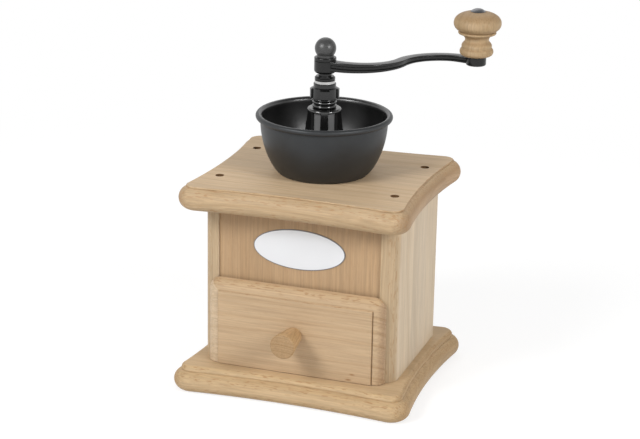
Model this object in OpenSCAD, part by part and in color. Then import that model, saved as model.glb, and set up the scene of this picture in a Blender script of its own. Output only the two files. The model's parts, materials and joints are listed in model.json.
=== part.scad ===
// Hand grain mill: a beech case with a meal drawer, a steel hopper bowl and a conical burr mill
// under an S-shaped crank. Millimetres. The origin is the middle of the base's underside, on the
// mill's turning axis. +Z is up and the drawer opens towards -Y.

/* [Case] */
// Width over both side panels
body_w = 140; // [120:1:160]
// Depth of the side panels
body_d = 98; // [90:1:110]
// Height of the panels between base and top board
body_h = 113.5; // [100:0.5:130]
// Thickness of a side panel
side_t = 11.5; // [11:0.5:16]
// Thickness of the front and back panels
panel_t = 9; // [7:0.5:12]
// How far the front and back panels lie behind the edges of the side panels
panel_recess = 1.5; // [0.5:0.5:3]
// Depth of the grooves that hold the front and back panels
groove_d = 4; // [2:0.5:5]
// Radius of the rounded front corners of the case
side_round = 10; // [6:0.5:11]
// Radius of eased wooden edges
ease_r = 1; // [0.5:0.25:2]

/* [Boards] */
// Width of the base board
base_w = 172; // [165:1:190]
// Depth of the base board
base_d = 151; // [146:1:170]
// Thickness of the base board
base_t = 19; // [18:0.5:22]
// Radius of the large round on the base's edge
base_bead_r = 7.4; // [6:0.1:7.5]
// Radius of the small quarter-round over it
base_cap_r = 3.4; // [2:0.1:3.5]
// Width of the top board
top_w = 165; // [160:1:180]
// Depth of the top board
top_d = 148; // [140:1:160]
// Thickness of the top board
top_t = 17; // [17:0.5:20]
// Radius of the large round on the top board's edge
top_bead_r = 8; // [6:0.1:8]
// Radius that breaks the top board's upper edge
top_cap_r = 0.8; // [0.4:0.1:1]
// How far the sides of both boards are hollowed
scallop = 4; // [2:0.5:6]
// Corner radius of both boards
corner_r = 13.5; // [12:0.5:18]
// How far the step over the large round lies inside the edge
step_in = 5.2; // [3:0.1:6]

/* [Drawer] */
// How far the drawer front laps over each side panel
drawer_lap = 5.5; // [4:0.5:9]
// Height of the drawer front
drawer_front_h = 61.5; // [55:0.5:68]
// Thickness of the drawer front
drawer_front_t = 7.7; // [7:0.1:10]
// Width of the moulding round the drawer front
mould_w = 8; // [4:0.5:8]
// Depth of the step between face and moulding
mould_step = 1; // [0.5:0.1:1.1]
// Radius of the drawer front's upper corners
front_corner_r = 8.5; // [8.1:0.1:12]
// Gap between the pushed-in drawer and the back panel
drawer_rear_gap = 3.7; // [2:0.1:10]
// Height of the drawer's side walls
drawer_wall_h = 50; // [40:1:56]
// Thickness of the drawer's walls
drawer_wall_t = 6; // [4:0.5:8]
// Thickness of the drawer's floor
drawer_floor_t = 3; // [2:0.5:4]
// Depth of the grooves that hold the drawer's floor
floor_groove_d = 2.5; // [1.5:0.5:3]
// Height of wood left under the floor groove
floor_lip = 3; // [2:0.5:5]
// Height of the drawer knob over the lower edge of the drawer front
drawer_knob_up = 28.5; // [20:0.5:36]
// Length of the drawer knob
drawer_knob_len = 23.5; // [14:0.5:28]
// Diameter of the drawer knob at the drawer
drawer_knob_root_d = 11.5; // [10:0.5:14]
// Diameter of the drawer knob at its end
drawer_knob_end_d = 17.8; // [14:0.2:20]

/* [Oval plate] */
// Width of the oval plate
oval_w = 66; // [50:1:80]
// Height of the oval plate
oval_h = 28.6; // [24:0.2:36]
// Thickness of the oval plate
oval_t = 1.2; // [0.8:0.1:1.5]
// Height of the oval's middle over the front panel's lower edge
oval_up = 27.5; // [24:0.5:30]

/* [Bowl] */
// Diameter of the bowl over its rolled rim
bowl_d = 94.7; // [88:0.1:104]
// Height from the top board to the middle of the rolled rim
bowl_h = 40; // [34:0.5:48]
// Thickness of the bowl's sheet
bowl_t = 1.2; // [0.8:0.1:1.6]
// Radius of the rolled rim
rim_r = 2; // [1.6:0.1:2.4]
// Diameter of the bowl's flat floor
bowl_floor_d = 60.5; // [56:0.5:62]
// Diameter of the throat through bowl and top board
throat_d = 25; // [22:0.5:26]

/* [Bell] */
// Number of legs
bell_legs = 6; // [4:1:6]
// Angle of the gap between two legs
bell_gap_angle = 28; // [20:1:30]
// Direction that one leg faces
bell_angle = -71; // [-90:1:90]
// Height of the shoulder over the bowl's floor
bell_h = 44.9; // [43:0.1:54]
// Diameter of the shoulder
bell_shoulder_d = 23.6; // [22:0.2:26]
// Diameter of the legs at their foot
bell_leg_d = 38; // [34:0.5:42]
// Thickness of the legs
bell_leg_t = 3.5; // [3:0.1:4.5]
// Diameter of the foot ring
bell_foot_d = 49; // [47:0.5:51]
// Thickness of the foot ring
bell_foot_t = 3; // [2:0.5:4]
// Diameter of the neck
neck_d = 16.8; // [14.4:0.2:18]
// Height of the neck
neck_h = 5.4; // [2:0.2:6]

/* [Burrs] */
// Diameter of the outer burr
burr_d = 53; // [51:0.5:58]
// Height of the outer burr
burr_h = 27; // [24:0.5:32]
// Diameter of the outer burr's bore at its upper end
burr_bore_top_d = 29; // [27:0.5:31]
// Diameter of the outer burr's bore at its lower end
burr_bore_end_d = 36; // [34:0.5:37]
// Radial gap between the burrs at the lower end, at the coarsest setting
grind_gap = 0.7; // [0.6:0.05:1.2]
// Height of the inner burr's grinding rim
grind_rim_h = 8; // [6:0.5:10]
// Diameter of the inner burr's upper end
cone_top_d = 14; // [13:0.5:18]
// Number of teeth on each burr
burr_teeth = 20; // [12:1:24]
// Depth of a tooth
tooth_depth = 1.4; // [0.8:0.1:1.8]
// Slant of the inner burr's teeth
tooth_slant = 12; // [0:1:20]
// Number of feed flutes on the inner burr
feed_flutes = 5; // [3:1:6]
// Width of a feed flute
flute_w = 5; // [3:0.5:6]
// Thickness of the bridge under the burrs
bridge_t = 4; // [3:0.5:6]
// Width of the bridge
bridge_w = 13; // [12:0.5:16]
// Height of the bridge's bearing boss
bridge_boss_h = 9; // [7:0.5:12]

/* [Spindle and nut] */
// Diameter of the spindle
spindle_d = 9; // [8:0.1:9.4]
// Diameter of the spindle's lower journal
journal_d = 7; // [6:0.1:7.4]
// Side of the spindle's square end
square_w = 6.6; // [6:0.1:6.8]
// Diameter of the thread for the ball nut
tip_d = 5.8; // [5:0.1:6]
// Depth of the flat that keys the thrust washer
key_flat = 1; // [0.6:0.1:1.4]
// Outside diameter of the bearing bushes
bush_d = 11.8; // [11:0.1:12]
// Length of the upper bush
bush_l = 13; // [9:0.5:15]
// Diameter of the thrust washer
thrust_d = 17.4; // [15:0.2:19]
// Thickness of the thrust washer
thrust_t = 1.3; // [1:0.1:2]
// Height of the adjusting nut
nut_h = 10.6; // [9:0.1:13]
// Diameter of the adjusting nut between its lugs
nut_d = 17.8; // [16.4:0.1:19]
// Diameter of the adjusting nut's upper collar
nut_collar_d = 15.6; // [14.5:0.1:16.2]
// Height of the upper collar
nut_collar_h = 2.8; // [1.5:0.1:3]
// Height of the cone under the collar
nut_cone_h = 1.5; // [1:0.1:2]
// Diameter over the nut's lugs
nut_lug_d = 20.4; // [19.4:0.1:22]
// Number of lugs
nut_lugs = 4; // [3:1:8]
// Angle of the gap between two lugs
nut_gap_angle = 51; // [20:1:60]
// Diameter of the spring washer
spring_washer_d = 14.2; // [13:0.1:15]
// Height of the spring washer
spring_washer_t = 1.8; // [1.4:0.1:3]
// Diameter of the lock collar
collar_d = 14.2; // [13:0.1:15]
// Height of the lock collar
collar_h = 3; // [2.6:0.1:4]
// Width of the notch in the lock collar
notch_w = 7; // [4:0.5:8]
// Bare length of the spindle between the lock collar and the crank
collar_gap = 2; // [1:0.1:3]

/* [Crank] */
// Distance from the mill's axis to the knob's axis
crank_reach = 106; // [95:0.1:120]
// Direction that the crank points at rest
crank_angle = 29; // [-90:1:90]
// How far each half of the arm bows to its side
crank_bow = 13.3; // [8:0.1:16]
// Width of the arm
arm_w = 7; // [6:0.1:8]
// Height of the arm at the hub
arm_hub_h = 7; // [6:0.1:8]
// Height of the arm at the knob
arm_end_h = 4.3; // [4:0.1:6]
// Depth of the grooves along the arm's sides
arm_groove_d = 0.9; // [0.4:0.1:1.2]
// Height of those grooves
arm_groove_h = 2; // [1:0.1:2.4]
// Diameter of the hub
hub_d = 15.2; // [14:0.1:17]
// Height of the hub
hub_h = 11.2; // [10.6:0.1:15]
// Diameter of the end boss
boss_d = 14; // [13:0.1:16]
// Height of the end boss
boss_h = 6.3; // [6:0.1:8]
// Length of the slope from the arm's underside down to the boss
boss_slope_l = 12; // [8:0.5:20]
// Diameter of the ball nut
ball_d = 14.7; // [13:0.1:17]
// Diameter of the ball nut's neck
ball_neck_d = 11.7; // [10:0.1:12]

/* [Crank knob] */
// Height of the crank knob
knob_h = 30.9; // [26:0.1:36]
// Largest diameter of the crank knob
knob_d = 33; // [30:0.5:38]
// Height of the crank knob's crown over its widest place
knob_crown_h = 6.7; // [5:0.1:8]
// Diameter of the bead under the head
knob_bead_d = 26.4; // [24:0.2:28]
// Diameter of the waist
knob_waist_d = 16.4; // [15:0.2:18]
// Diameter of the foot
knob_foot_d = 23; // [21:0.2:25]
// Diameter of the pin
pin_d = 5; // [4:0.1:6]
// Diameter of the pin's domed head
pin_head_d = 10.4; // [9:0.1:12]
// Height of the pin's domed head
pin_head_h = 2.1; // [1.5:0.1:3]

/* [Screws] */
// Half the distance between the case screws across the case
case_screw_x = 63; // [61:0.5:66]
// Distance of the case screws from the inner faces of the front and back panels
case_screw_in = 2.5; // [2.3:0.1:8]
// Shank diameter of the case screws
case_screw_d = 3.4; // [3:0.1:4]
// Head diameter of the case screws
case_screw_head_d = 6; // [5:0.1:7]
// Length of the case screws
case_screw_l = 32; // [25:1:36]
// How deep the heads of the top screws are sunk
top_sink = 3; // [2:0.5:4]
// Shank diameter of the mill screws
mill_screw_d = 4; // [3.5:0.1:4.5]
// Head diameter of the mill screws
mill_screw_head_d = 6.6; // [6:0.1:7]
// Distance of the mill screws from the axis
mill_screw_r = 20.5; // [20:0.1:21]
// How far the mill screws reach into the outer burr
mill_screw_in = 10; // [8:0.5:12]
// Shank diameter of the bridge screws
bridge_screw_d = 3.4; // [3:0.1:3.6]

/* [Clearances] */
// Radial clearance of a turning or sliding fit
run_fit = 0.05; // [0.02:0.01:0.1]
// Radial clearance of a pressed, screwed or glued fit
press_fit = 0.02; // [0.01:0.01:0.05]
// Axial clearance between turning faces
axial_gap = 0.1; // [0.05:0.05:0.2]
// Gap between the crank knob and what it turns against
knob_gap = 0.3; // [0.2:0.05:0.4]
// Gap beside the drawer
drawer_side_gap = 0.5; // [0.3:0.1:1]
// Gap under the drawer, and between its front and the case
drawer_gap = 0.3; // [0.3:0.1:0.6]
// Gap between the drawer front and the base
drawer_foot_gap = 0.5; // [0.3:0.1:1]
// Clearance of panels in their grooves
groove_gap = 0.1; // [0.05:0.05:0.2]

/* [Hidden] */
$fn = 96;
beech = [0.79, 0.66, 0.50];
black = [0.16, 0.16, 0.165];
steel = [0.68, 0.69, 0.71];
cast = [0.33, 0.33, 0.34];
bronze = [0.66, 0.52, 0.30];
enamel = [0.95, 0.95, 0.96];
eps = 0.01;

// Levels up the case
z_case = base_t;
z_under = z_case + body_h;
z_top = z_under + top_t;
inner_w = body_w - 2*side_t;

// Levels up the mill, each standing on the one before
z_floor = z_top + bowl_t;
z_foot = z_floor + bell_foot_t;
z_shoulder = z_floor + bell_h;
z_neck = z_shoulder + neck_h;
z_thrust = z_neck + axial_gap;
z_nut = z_thrust + thrust_t + axial_gap;
z_spring = z_nut + nut_h;
z_collar = z_spring + spring_washer_t + axial_gap;
z_hub = z_collar + collar_h + collar_gap;
z_hub_top = z_hub + hub_h;
z_arm = z_hub_top - 0.48*hub_h;
z_boss_top = z_arm + boss_h/2;
z_knob = z_boss_top + knob_gap;
z_knob_top = z_knob + knob_h;
z_ring = z_under - burr_h;
z_bridge = z_ring - bridge_t;
z_journal = z_bridge - bridge_boss_h + bridge_t;
ball_up = sqrt(pow(ball_d/2, 2) - pow(ball_neck_d/2, 2)) + 1.5;
z_tip = z_hub_top + ball_up + 3;

// Places in the drawer's part of the case
front_y = -body_d/2;
drawer_back_y = front_y - drawer_gap;
drawer_face_y = drawer_back_y - drawer_front_t;
z_drawer = z_case + drawer_gap;
z_front = z_case + drawer_foot_gap;
z_panel = z_front + drawer_front_h - 1.5;
drawer_w = inner_w - 2*drawer_side_gap;
drawer_front_w = inner_w + 2*drawer_lap;
panel_y = front_y + panel_recess;
drawer_len = -panel_y - panel_t - drawer_rear_gap - drawer_back_y;
panel_w = inner_w + 2*groove_d - 2*groove_gap;
case_screw_y = -panel_y - panel_t - case_screw_in;

// Points on an elliptic arc round c from angle a0 to a1
function arc(c, rx, ry, a0, a1, n = 12) =
    [for (i = [0:n]) let (a = a0 + (a1 - a0)*i/n) c + [rx*cos(a), ry*sin(a)]];

// Point at t on the cubic curve with the four control points p, and its direction there
function curve_at(p, t) =
    pow(1 - t, 3)*p[0] + 3*pow(1 - t, 2)*t*p[1] + 3*(1 - t)*t*t*p[2] + pow(t, 3)*p[3];
function curve_dir(p, t) =
    let (d = pow(1 - t, 2)*(p[1] - p[0]) + 2*(1 - t)*t*(p[2] - p[1]) + t*t*(p[3] - p[2]))
    d/norm(d);

// Points along that curve, moved aside to its left by off
function curve(p, n, off = 0) =
    [for (i = [0:n]) let (d = curve_dir(p, i/n)) curve_at(p, i/n) + off*[-d[1], d[0]]];

// Radius of the hollow along a board's side whose corner centres lie 2k apart, and half its angle
function hollow_r(k) = (k*k + scallop*scallop)/(2*scallop) - corner_r;
function hollow_half(k) = asin(k/(hollow_r(k) + corner_r));

// Half of a board's outline, moved inwards by e: two corners, each followed by a hollow side
function half_outline(w, d, e) =
    let (kx = w/2 - corner_r, ky = d/2 - corner_r)
    let (rx = hollow_r(kx), ry = hollow_r(ky), ax = hollow_half(kx), ay = hollow_half(ky))
    let (round_r = corner_r - e)
    concat(
        arc([kx, ky], round_r, round_r, -ay, 90 + ax, corner_steps),
        inner(arc([0, d/2 - scallop + rx], rx + e, rx + e, 270 + ax, 270 - ax, hollow_steps)),
        arc([-kx, ky], round_r, round_r, 90 - ax, 180 + ay, corner_steps),
        inner(arc([scallop - w/2 - ry, 0], ry + e, ry + e, ay, -ay, hollow_steps))
    );
function inner(points) = [for (i = [1:len(points) - 2]) points[i]];
function outline(w, d, e) = let (half = half_outline(w, d, e)) concat(half, -half);
corner_steps = 8;
hollow_steps = 8;

// Profile of a board's edge from the underside up, as [inset, height]
function edge_profile(t, bead_r, cap_r) = concat(
    arc([bead_r, bead_r], bead_r, bead_r, 270, acos((step_in - bead_r)/bead_r), 8),
    arc([step_in + cap_r, t - cap_r], cap_r, cap_r, 180, 90, 3)
);

// Tube or disc along Z from z0 to z1
module ring(d, z0, z1, bore = 0) {
    difference() {
        translate([0, 0, z0]) cylinder(d = d, h = z1 - z0);
        if (bore > 0) translate([0, 0, z0 - 1]) cylinder(d = bore, h = z1 - z0 + 2);
    }
}

// Board with four hollowed sides and round corners, moulded along its whole edge
module board(w, d, t, bead_r, cap_r) {
    edge = edge_profile(t, bead_r, cap_r);
    n = 4*(corner_steps + hollow_steps);
    top = len(edge) - 1;
    polyhedron(
        [for (e = edge) for (q = outline(w, d, e[0])) [q[0], q[1], e[1]]],
        concat(
            [[for (j = [0:n - 1]) j], [for (j = [n - 1:-1:0]) top*n + j]],
            [for (i = [0:top - 1]) for (j = [0:n - 1]) let (k = (j + 1)%n)
                [i*n + j, i*n + n + j, i*n + n + k, i*n + k]]
        )
    );
}

// Repeats its children at the four case screws
module at_case_screws() {
    for (sx = [-1, 1], sy = [-1, 1]) translate([sx*case_screw_x, sy*case_screw_y, 0]) children();
}

// Countersunk wood screw, head up, its top at the origin; grow widens it into its own hole
module wood_screw(l, grow = 0) {
    d = case_screw_d + 2*grow;
    head_d = case_screw_head_d + 2*grow;
    head_h = (case_screw_head_d - case_screw_d)/2;
    translate([0, 0, -l]) cylinder(d = d, h = l);
    translate([0, 0, -head_h]) cylinder(d1 = d, d2 = head_d, h = head_h);
}

// Cross recess in a screw head
module cross_recess(l, depth) {
    for (a = [0, 90]) rotate(a) translate([-l/2, -0.5, -depth]) cube([l, 1, depth + 1]);
}

module base_plate() {
    color(beech) difference() {
        board(base_w, base_d, base_t, base_bead_r, base_cap_r);
        at_case_screws() mirror([0, 0, 1]) wood_screw(case_screw_l, press_fit);
    }
}

module top_plate() {
    color(beech) difference() {
        translate([0, 0, z_under]) board(top_w, top_d, top_t, top_bead_r, top_cap_r);
        translate([0, 0, z_under - 1]) cylinder(d = throat_d, h = top_t + 2);
        at_case_screws() translate([0, 0, z_top - top_sink]) {
            wood_screw(case_screw_l, press_fit);
            cylinder(d = case_screw_head_d + 2*press_fit, h = top_sink + 1);
        }
        at_mill_screws() translate([0, 0, z_under - 1])
            cylinder(d = mill_screw_d + 2*run_fit, h = top_t + 2);
    }
}

// Section of the right side panel, with the rounded outer front corner
module side_section() {
    out = body_w/2;
    difference() {
        translate([out - side_t, front_y]) square([side_t, body_d]);
        difference() {
            translate([out - side_round, front_y - 1]) square([side_round + 1, side_round + 1]);
            translate([out - side_round, front_y + side_round]) circle(side_round);
        }
        difference() {
            translate([out - ease_r, -front_y - ease_r]) square([ease_r + 1, ease_r + 1]);
            translate([out - ease_r, -front_y - ease_r]) circle(ease_r, $fn = 32);
        }
    }
}

// Groove in the right side panel for a panel whose outer face lies at y
module panel_groove(y, z0) {
    translate([inner_w/2 - 1, y - groove_gap, z0])
        cube([groove_d + 1, panel_t + 2*groove_gap, z_under - z0 + 1]);
}

module right_side() {
    color(beech) difference() {
        translate([0, 0, z_case]) linear_extrude(body_h) side_section();
        panel_groove(panel_y, z_panel);
        panel_groove(-panel_y - panel_t, z_case - 1);
        at_case_screws() {
            mirror([0, 0, 1]) wood_screw(case_screw_l + 1, press_fit);
            translate([0, 0, z_top - top_sink]) wood_screw(case_screw_l + 1, press_fit);
        }
    }
}

module left_side() {
    mirror([1, 0, 0]) right_side();
}

module front_panel() {
    color(beech) translate([-panel_w/2, panel_y, z_panel]) cube([panel_w, panel_t, z_under - z_panel]);
}

module back_panel() {
    color(beech) translate([-panel_w/2, -panel_y - panel_t, z_case]) cube([panel_w, panel_t, body_h]);
}

module oval_plate() {
    color(enamel) translate([0, panel_y, z_panel + oval_up]) rotate([90, 0, 0])
        linear_extrude(oval_t) polygon(arc([0, 0], oval_w/2, oval_h/2, 0, 360 - 3.75, 95));
}

module top_screws() {
    color(steel) at_case_screws() translate([0, 0, z_top - top_sink]) difference() {
        wood_screw(case_screw_l);
        cross_recess(3.2, 1);
    }
}

module base_screws() {
    color(steel) at_case_screws() mirror([0, 0, 1]) difference() {
        wood_screw(case_screw_l);
        cross_recess(3.2, 1);
    }
}

// Outside of the bowl's wall from the flat floor up to the rim
bowl_wall_r = bowl_d/2 - 2*rim_r + 0.3;
bowl_curve = [
    [bowl_floor_d/2, 0],
    [bowl_floor_d/2 + 5.2, 0],
    [bowl_wall_r - 0.4, bowl_h - 12.4],
    [bowl_wall_r, bowl_h - rim_r]
];

module hopper_bowl() {
    steps = 20;
    inside = curve(bowl_curve, steps, bowl_t);
    color(black) translate([0, 0, z_top]) difference() {
        rotate_extrude($fn = 128) {
            polygon(concat(
                [[throat_d/2, 0]],
                curve(bowl_curve, steps),
                [[bowl_wall_r, bowl_h], [bowl_wall_r - bowl_t, bowl_h]],
                [for (i = [steps:-1:0]) inside[i]],
                [[throat_d/2, bowl_t]]
            ));
            translate([bowl_d/2 - rim_r, bowl_h]) circle(rim_r, $fn = 32);
        }
        at_mill_screws() translate([0, 0, -1]) cylinder(d = mill_screw_d + 2*run_fit, h = bowl_t + 2);
    }
}

// Repeats its children at the three mill screws, which stand in spot faces between the bell's legs
spot_depth = 0.3;
module at_mill_screws() {
    for (i = [0:2]) rotate(bell_angle + 180/bell_legs + 120*i) translate([mill_screw_r, 0, 0]) children();
}

module bell() {
    shoulder_r = bell_shoulder_d/2;
    leg_r = bell_leg_d/2;
    leg_curve = [
        [leg_r, bell_foot_t], [leg_r - 2, bell_foot_t + 9],
        [shoulder_r + 1.4, 0.62*bell_h], [shoulder_r, bell_h - 1.5]
    ];
    hub_r = bush_d/2 + 2.6;
    hollow_h = 0.55*bell_h;
    inside = curve(leg_curve, 12, bell_leg_t);
    color(black) translate([0, 0, z_floor]) difference() {
        rotate_extrude() difference() {
            polygon(concat(
                [[0, 0], [bell_foot_d/2, 0], [bell_foot_d/2, bell_foot_t - 0.5]],
                [[bell_foot_d/2 - 0.5, bell_foot_t]],
                curve(leg_curve, 12),
                [[shoulder_r - 1.2, bell_h], [neck_d/2, bell_h], [neck_d/2, bell_h + neck_h]],
                [[0, bell_h + neck_h]]
            ));
            intersection() {
                polygon(concat([[0, -1], [inside[0][0], -1]], inside, [[0, bell_h]]));
                translate([0, -1]) square([leg_r, hollow_h + 1]);
            }
            translate([0, -1]) square([bush_d/2 + press_fit, bell_h + neck_h + 2]);
        }
        for (i = [0:bell_legs - 1]) rotate(bell_angle + 180/bell_legs + 360/bell_legs*i) bell_gap(hub_r);
        at_mill_screws() {
            translate([0, 0, -1]) cylinder(d = mill_screw_d + 2*run_fit, h = bell_foot_t + 2);
            translate([0, 0, bell_foot_t - spot_depth]) cylinder(d = mill_screw_head_d + 0.6, h = 4);
        }
    }
}

// Gap between two legs, from the foot ring up to the shoulder
module bell_gap(hub_r) {
    far = bell_leg_d/2 + 4;
    low_z = bell_foot_t + 0.4;
    top_z = bell_h - 3.5;
    rotate(-bell_gap_angle/2) rotate_extrude(angle = bell_gap_angle)
        translate([hub_r, low_z]) square([far - hub_r, top_z - low_z]);
}

module mill_screws() {
    head_h = 2.4;
    l = bell_foot_t - spot_depth + bowl_t + top_t + mill_screw_in;
    color(steel) at_mill_screws() translate([0, 0, z_foot - spot_depth]) difference() {
        union() {
            translate([0, 0, -l]) cylinder(d = mill_screw_d, h = l);
            cylinder(d = mill_screw_head_d, h = head_h);
        }
        translate([-mill_screw_head_d, -0.5, head_h - 1]) cube([2*mill_screw_head_d, 1, 2]);
    }
}

module outer_burr() {
    tilt = atan((burr_bore_end_d - burr_bore_top_d)/2/burr_h);
    color(cast) difference() {
        ring(burr_d, z_ring, z_under);
        translate([0, 0, z_ring - eps])
            cylinder(d1 = burr_bore_end_d, d2 = burr_bore_top_d, h = burr_h + 2*eps);
        for (i = [0:burr_teeth - 1]) rotate(360/burr_teeth*i)
            translate([burr_bore_end_d/2, 0, z_ring]) rotate([0, -tilt, 0]) tooth_cut(burr_h*0.6);
        at_mill_screws() translate([0, 0, z_under - mill_screw_in - 1])
            cylinder(d = mill_screw_d + 2*press_fit, h = mill_screw_in + 2);
        at_bridge_screws() translate([0, 0, z_ring - 1])
            cylinder(d = bridge_screw_d + 2*press_fit, h = bridge_screw_in + 2);
    }
}

// Three-sided cutter along Z for the groove beside a tooth
module tooth_cut(l) {
    translate([0, 0, -2]) linear_extrude(l + 2)
        polygon([[tooth_depth, 0], [-tooth_depth, -tooth_depth], [-tooth_depth, tooth_depth]]);
}

module inner_burr() {
    rim_r = burr_bore_end_d/2 - grind_gap;
    slope = (burr_bore_end_d - burr_bore_top_d)/2/burr_h;
    rim_top_r = rim_r - slope*grind_rim_h - 0.4;
    z0 = z_ring + axial_gap*5;
    cone_h = burr_h - 3;
    color(cast) difference() {
        translate([0, 0, z0]) rotate_extrude() polygon([
            [spindle_d/2 + press_fit, 0], [rim_r, 0], [rim_top_r, grind_rim_h],
            [cone_top_d/2, cone_h], [spindle_d/2 + press_fit, cone_h]
        ]);
        for (i = [0:burr_teeth - 1]) rotate(360/burr_teeth*i)
            translate([rim_r, 0, z0]) rotate([tooth_slant, -atan(slope), 0]) mirror([1, 0, 0])
                tooth_cut(grind_rim_h + 2);
        for (i = [0:feed_flutes - 1]) rotate(360/feed_flutes*i) feed_flute(rim_top_r, z0, cone_h);
        burr_pin_place() cylinder(d = burr_pin_d + 2*press_fit, h = 2*rim_r, center = true);
    }
}

// Slanted flute that draws grain down the cone
module feed_flute(rim_top_r, z0, cone_h) {
    lean = atan((rim_top_r - cone_top_d/2)/(cone_h - grind_rim_h));
    translate([rim_top_r + 1, 0, z0 + grind_rim_h - 1]) rotate([2*tooth_slant, -lean, 0])
        translate([0, 0, -1]) cylinder(d = flute_w, h = 2*cone_h);
}

// Cross pin through inner burr and spindle
burr_pin_d = 3;
module burr_pin_place() {
    translate([0, 0, z_ring + burr_h - 6]) rotate([90, 0, 0]) children();
}

module burr_pin() {
    color(steel) burr_pin_place() cylinder(d = burr_pin_d, h = cone_top_d + 1, center = true);
}

// Repeats its children at the two bridge screws
bridge_screw_in = 8;
module at_bridge_screws() {
    for (s = [-1, 1]) translate([s*(burr_bore_end_d + burr_d)/4, 0, 0]) children();
}

module lower_bridge() {
    l = burr_d - 2;
    color(cast) difference() {
        union() {
            translate([-l/2, -bridge_w/2, z_bridge]) cube([l, bridge_w, bridge_t]);
            ring(bush_d + 6, z_journal, z_ring);
        }
        translate([0, 0, z_journal - 1]) cylinder(d = bush_d + 2*press_fit, h = bridge_boss_h + 2);
        at_bridge_screws() translate([0, 0, z_bridge - 1])
            cylinder(d = bridge_screw_d + 2*run_fit, h = bridge_t + 2);
    }
}

module bridge_screws() {
    head_h = 2;
    l = bridge_t + bridge_screw_in;
    color(steel) at_bridge_screws() translate([0, 0, z_bridge]) difference() {
        union() {
            cylinder(d = bridge_screw_d, h = l);
            translate([0, 0, -head_h]) cylinder(d = 1.8*bridge_screw_d, h = head_h);
        }
        translate([-5, -0.4, -head_h - 1]) cube([10, 0.8, 1.8]);
    }
}

module upper_bush() {
    color(bronze) ring(bush_d, z_neck - bush_l, z_neck, spindle_d + 2*run_fit);
}

module lower_bush() {
    color(bronze) ring(bush_d, z_journal, z_ring, journal_d + 2*run_fit);
}

module spindle() {
    color(steel) difference() {
        union() {
            ring(journal_d, z_journal - 1, z_ring + 1);
            ring(spindle_d, z_ring + 3*axial_gap, z_hub);
            intersection() {
                ring(spindle_d, z_hub - 1, z_hub_top - 0.5);
                translate([-square_w/2, -square_w/2, z_hub - 1]) cube([square_w, square_w, hub_h + 1]);
            }
            ring(tip_d, z_hub_top - 1, z_tip);
        }
        key_flat_cut(z_neck - 1.8, z_collar);
        burr_pin_place() cylinder(d = burr_pin_d + 2*press_fit, h = 2*spindle_d, center = true);
    }
}

// Flat side of the spindle that keeps the thrust washer turning with it
module key_flat_cut(z0, z1, gap = 0) {
    translate([spindle_d/2 - key_flat + gap, -spindle_d, z0]) cube([spindle_d, 2*spindle_d, z1 - z0]);
}

module thrust_washer() {
    r = thrust_d/2;
    color(black) difference() {
        translate([0, 0, z_thrust]) rotate_extrude() {
            square([r - thrust_t/2, thrust_t]);
            translate([r - thrust_t/2, thrust_t/2]) circle(d = thrust_t, $fn = 32);
        }
        difference() {
            translate([0, 0, z_thrust - 1]) cylinder(d = spindle_d + 2*run_fit, h = thrust_t + 2);
            key_flat_cut(z_thrust - 2, z_thrust + thrust_t + 2, run_fit);
        }
    }
}

module adjusting_nut() {
    lug_r = nut_lug_d/2;
    collar_r = nut_collar_d/2;
    lug_h = nut_h - nut_collar_h - nut_cone_h;
    color(black) translate([0, 0, z_nut]) difference() {
        rotate_extrude() polygon([
            [spindle_d/2 + run_fit, 0], [lug_r - 0.6, 0], [lug_r, 0.6], [lug_r, lug_h],
            [collar_r, lug_h + nut_cone_h], [collar_r, nut_h - 0.4],
            [collar_r - 0.4, nut_h], [spindle_d/2 + run_fit, nut_h]
        ]);
        for (i = [0:nut_lugs - 1]) rotate(bell_angle + 360/nut_lugs*(i + 0.5) - nut_gap_angle/2)
            rotate_extrude(angle = nut_gap_angle)
                translate([nut_d/2, -1]) square([nut_lug_d, lug_h + nut_cone_h + 1]);
    }
}

module spring_washer() {
    color(steel) ring(spring_washer_d, z_spring, z_spring + spring_washer_t, spindle_d + 2*run_fit);
}

module lock_collar() {
    r = collar_d/2;
    color(black) translate([0, 0, z_collar]) difference() {
        rotate_extrude() polygon([
            [spindle_d/2 + press_fit, 0], [r - 0.4, 0], [r, 0.4], [r, collar_h - 1],
            [r - 1, collar_h], [spindle_d/2 + press_fit, collar_h]
        ]);
        rotate(bell_angle) translate([r - 1.6, -notch_w/2, collar_h - 1.4]) cube([3, notch_w, 3]);
    }
}

// Points along the S of the arm, moved aside to its left by off
function arm_line(span, r, half, off) = concat(
    [for (i = [0:arm_steps]) [span/2, r - crank_bow] + (r - off)*arm_dir(270 - half + 2*half*i/arm_steps)],
    [for (i = [1:arm_steps]) [1.5*span, crank_bow - r] + (r + off)*arm_dir(90 + half - 2*half*i/arm_steps)]
);
function arm_dir(a) = [cos(a), sin(a)];
arm_steps = 16;

// Layer of the arm of the given width between two heights
module arm_layer(w, z0, z1) {
    span = crank_reach/2;
    r = (pow(span/2, 2) + pow(crank_bow, 2))/(2*crank_bow);
    half = asin(span/2/r);
    left = arm_line(span, r, half, w/2);
    right = arm_line(span, r, half, -w/2);
    last = len(right) - 1;
    translate([0, 0, z0]) linear_extrude(z1 - z0) polygon(concat(left, [for (i = [last:-1:0]) right[i]]));
}

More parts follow.
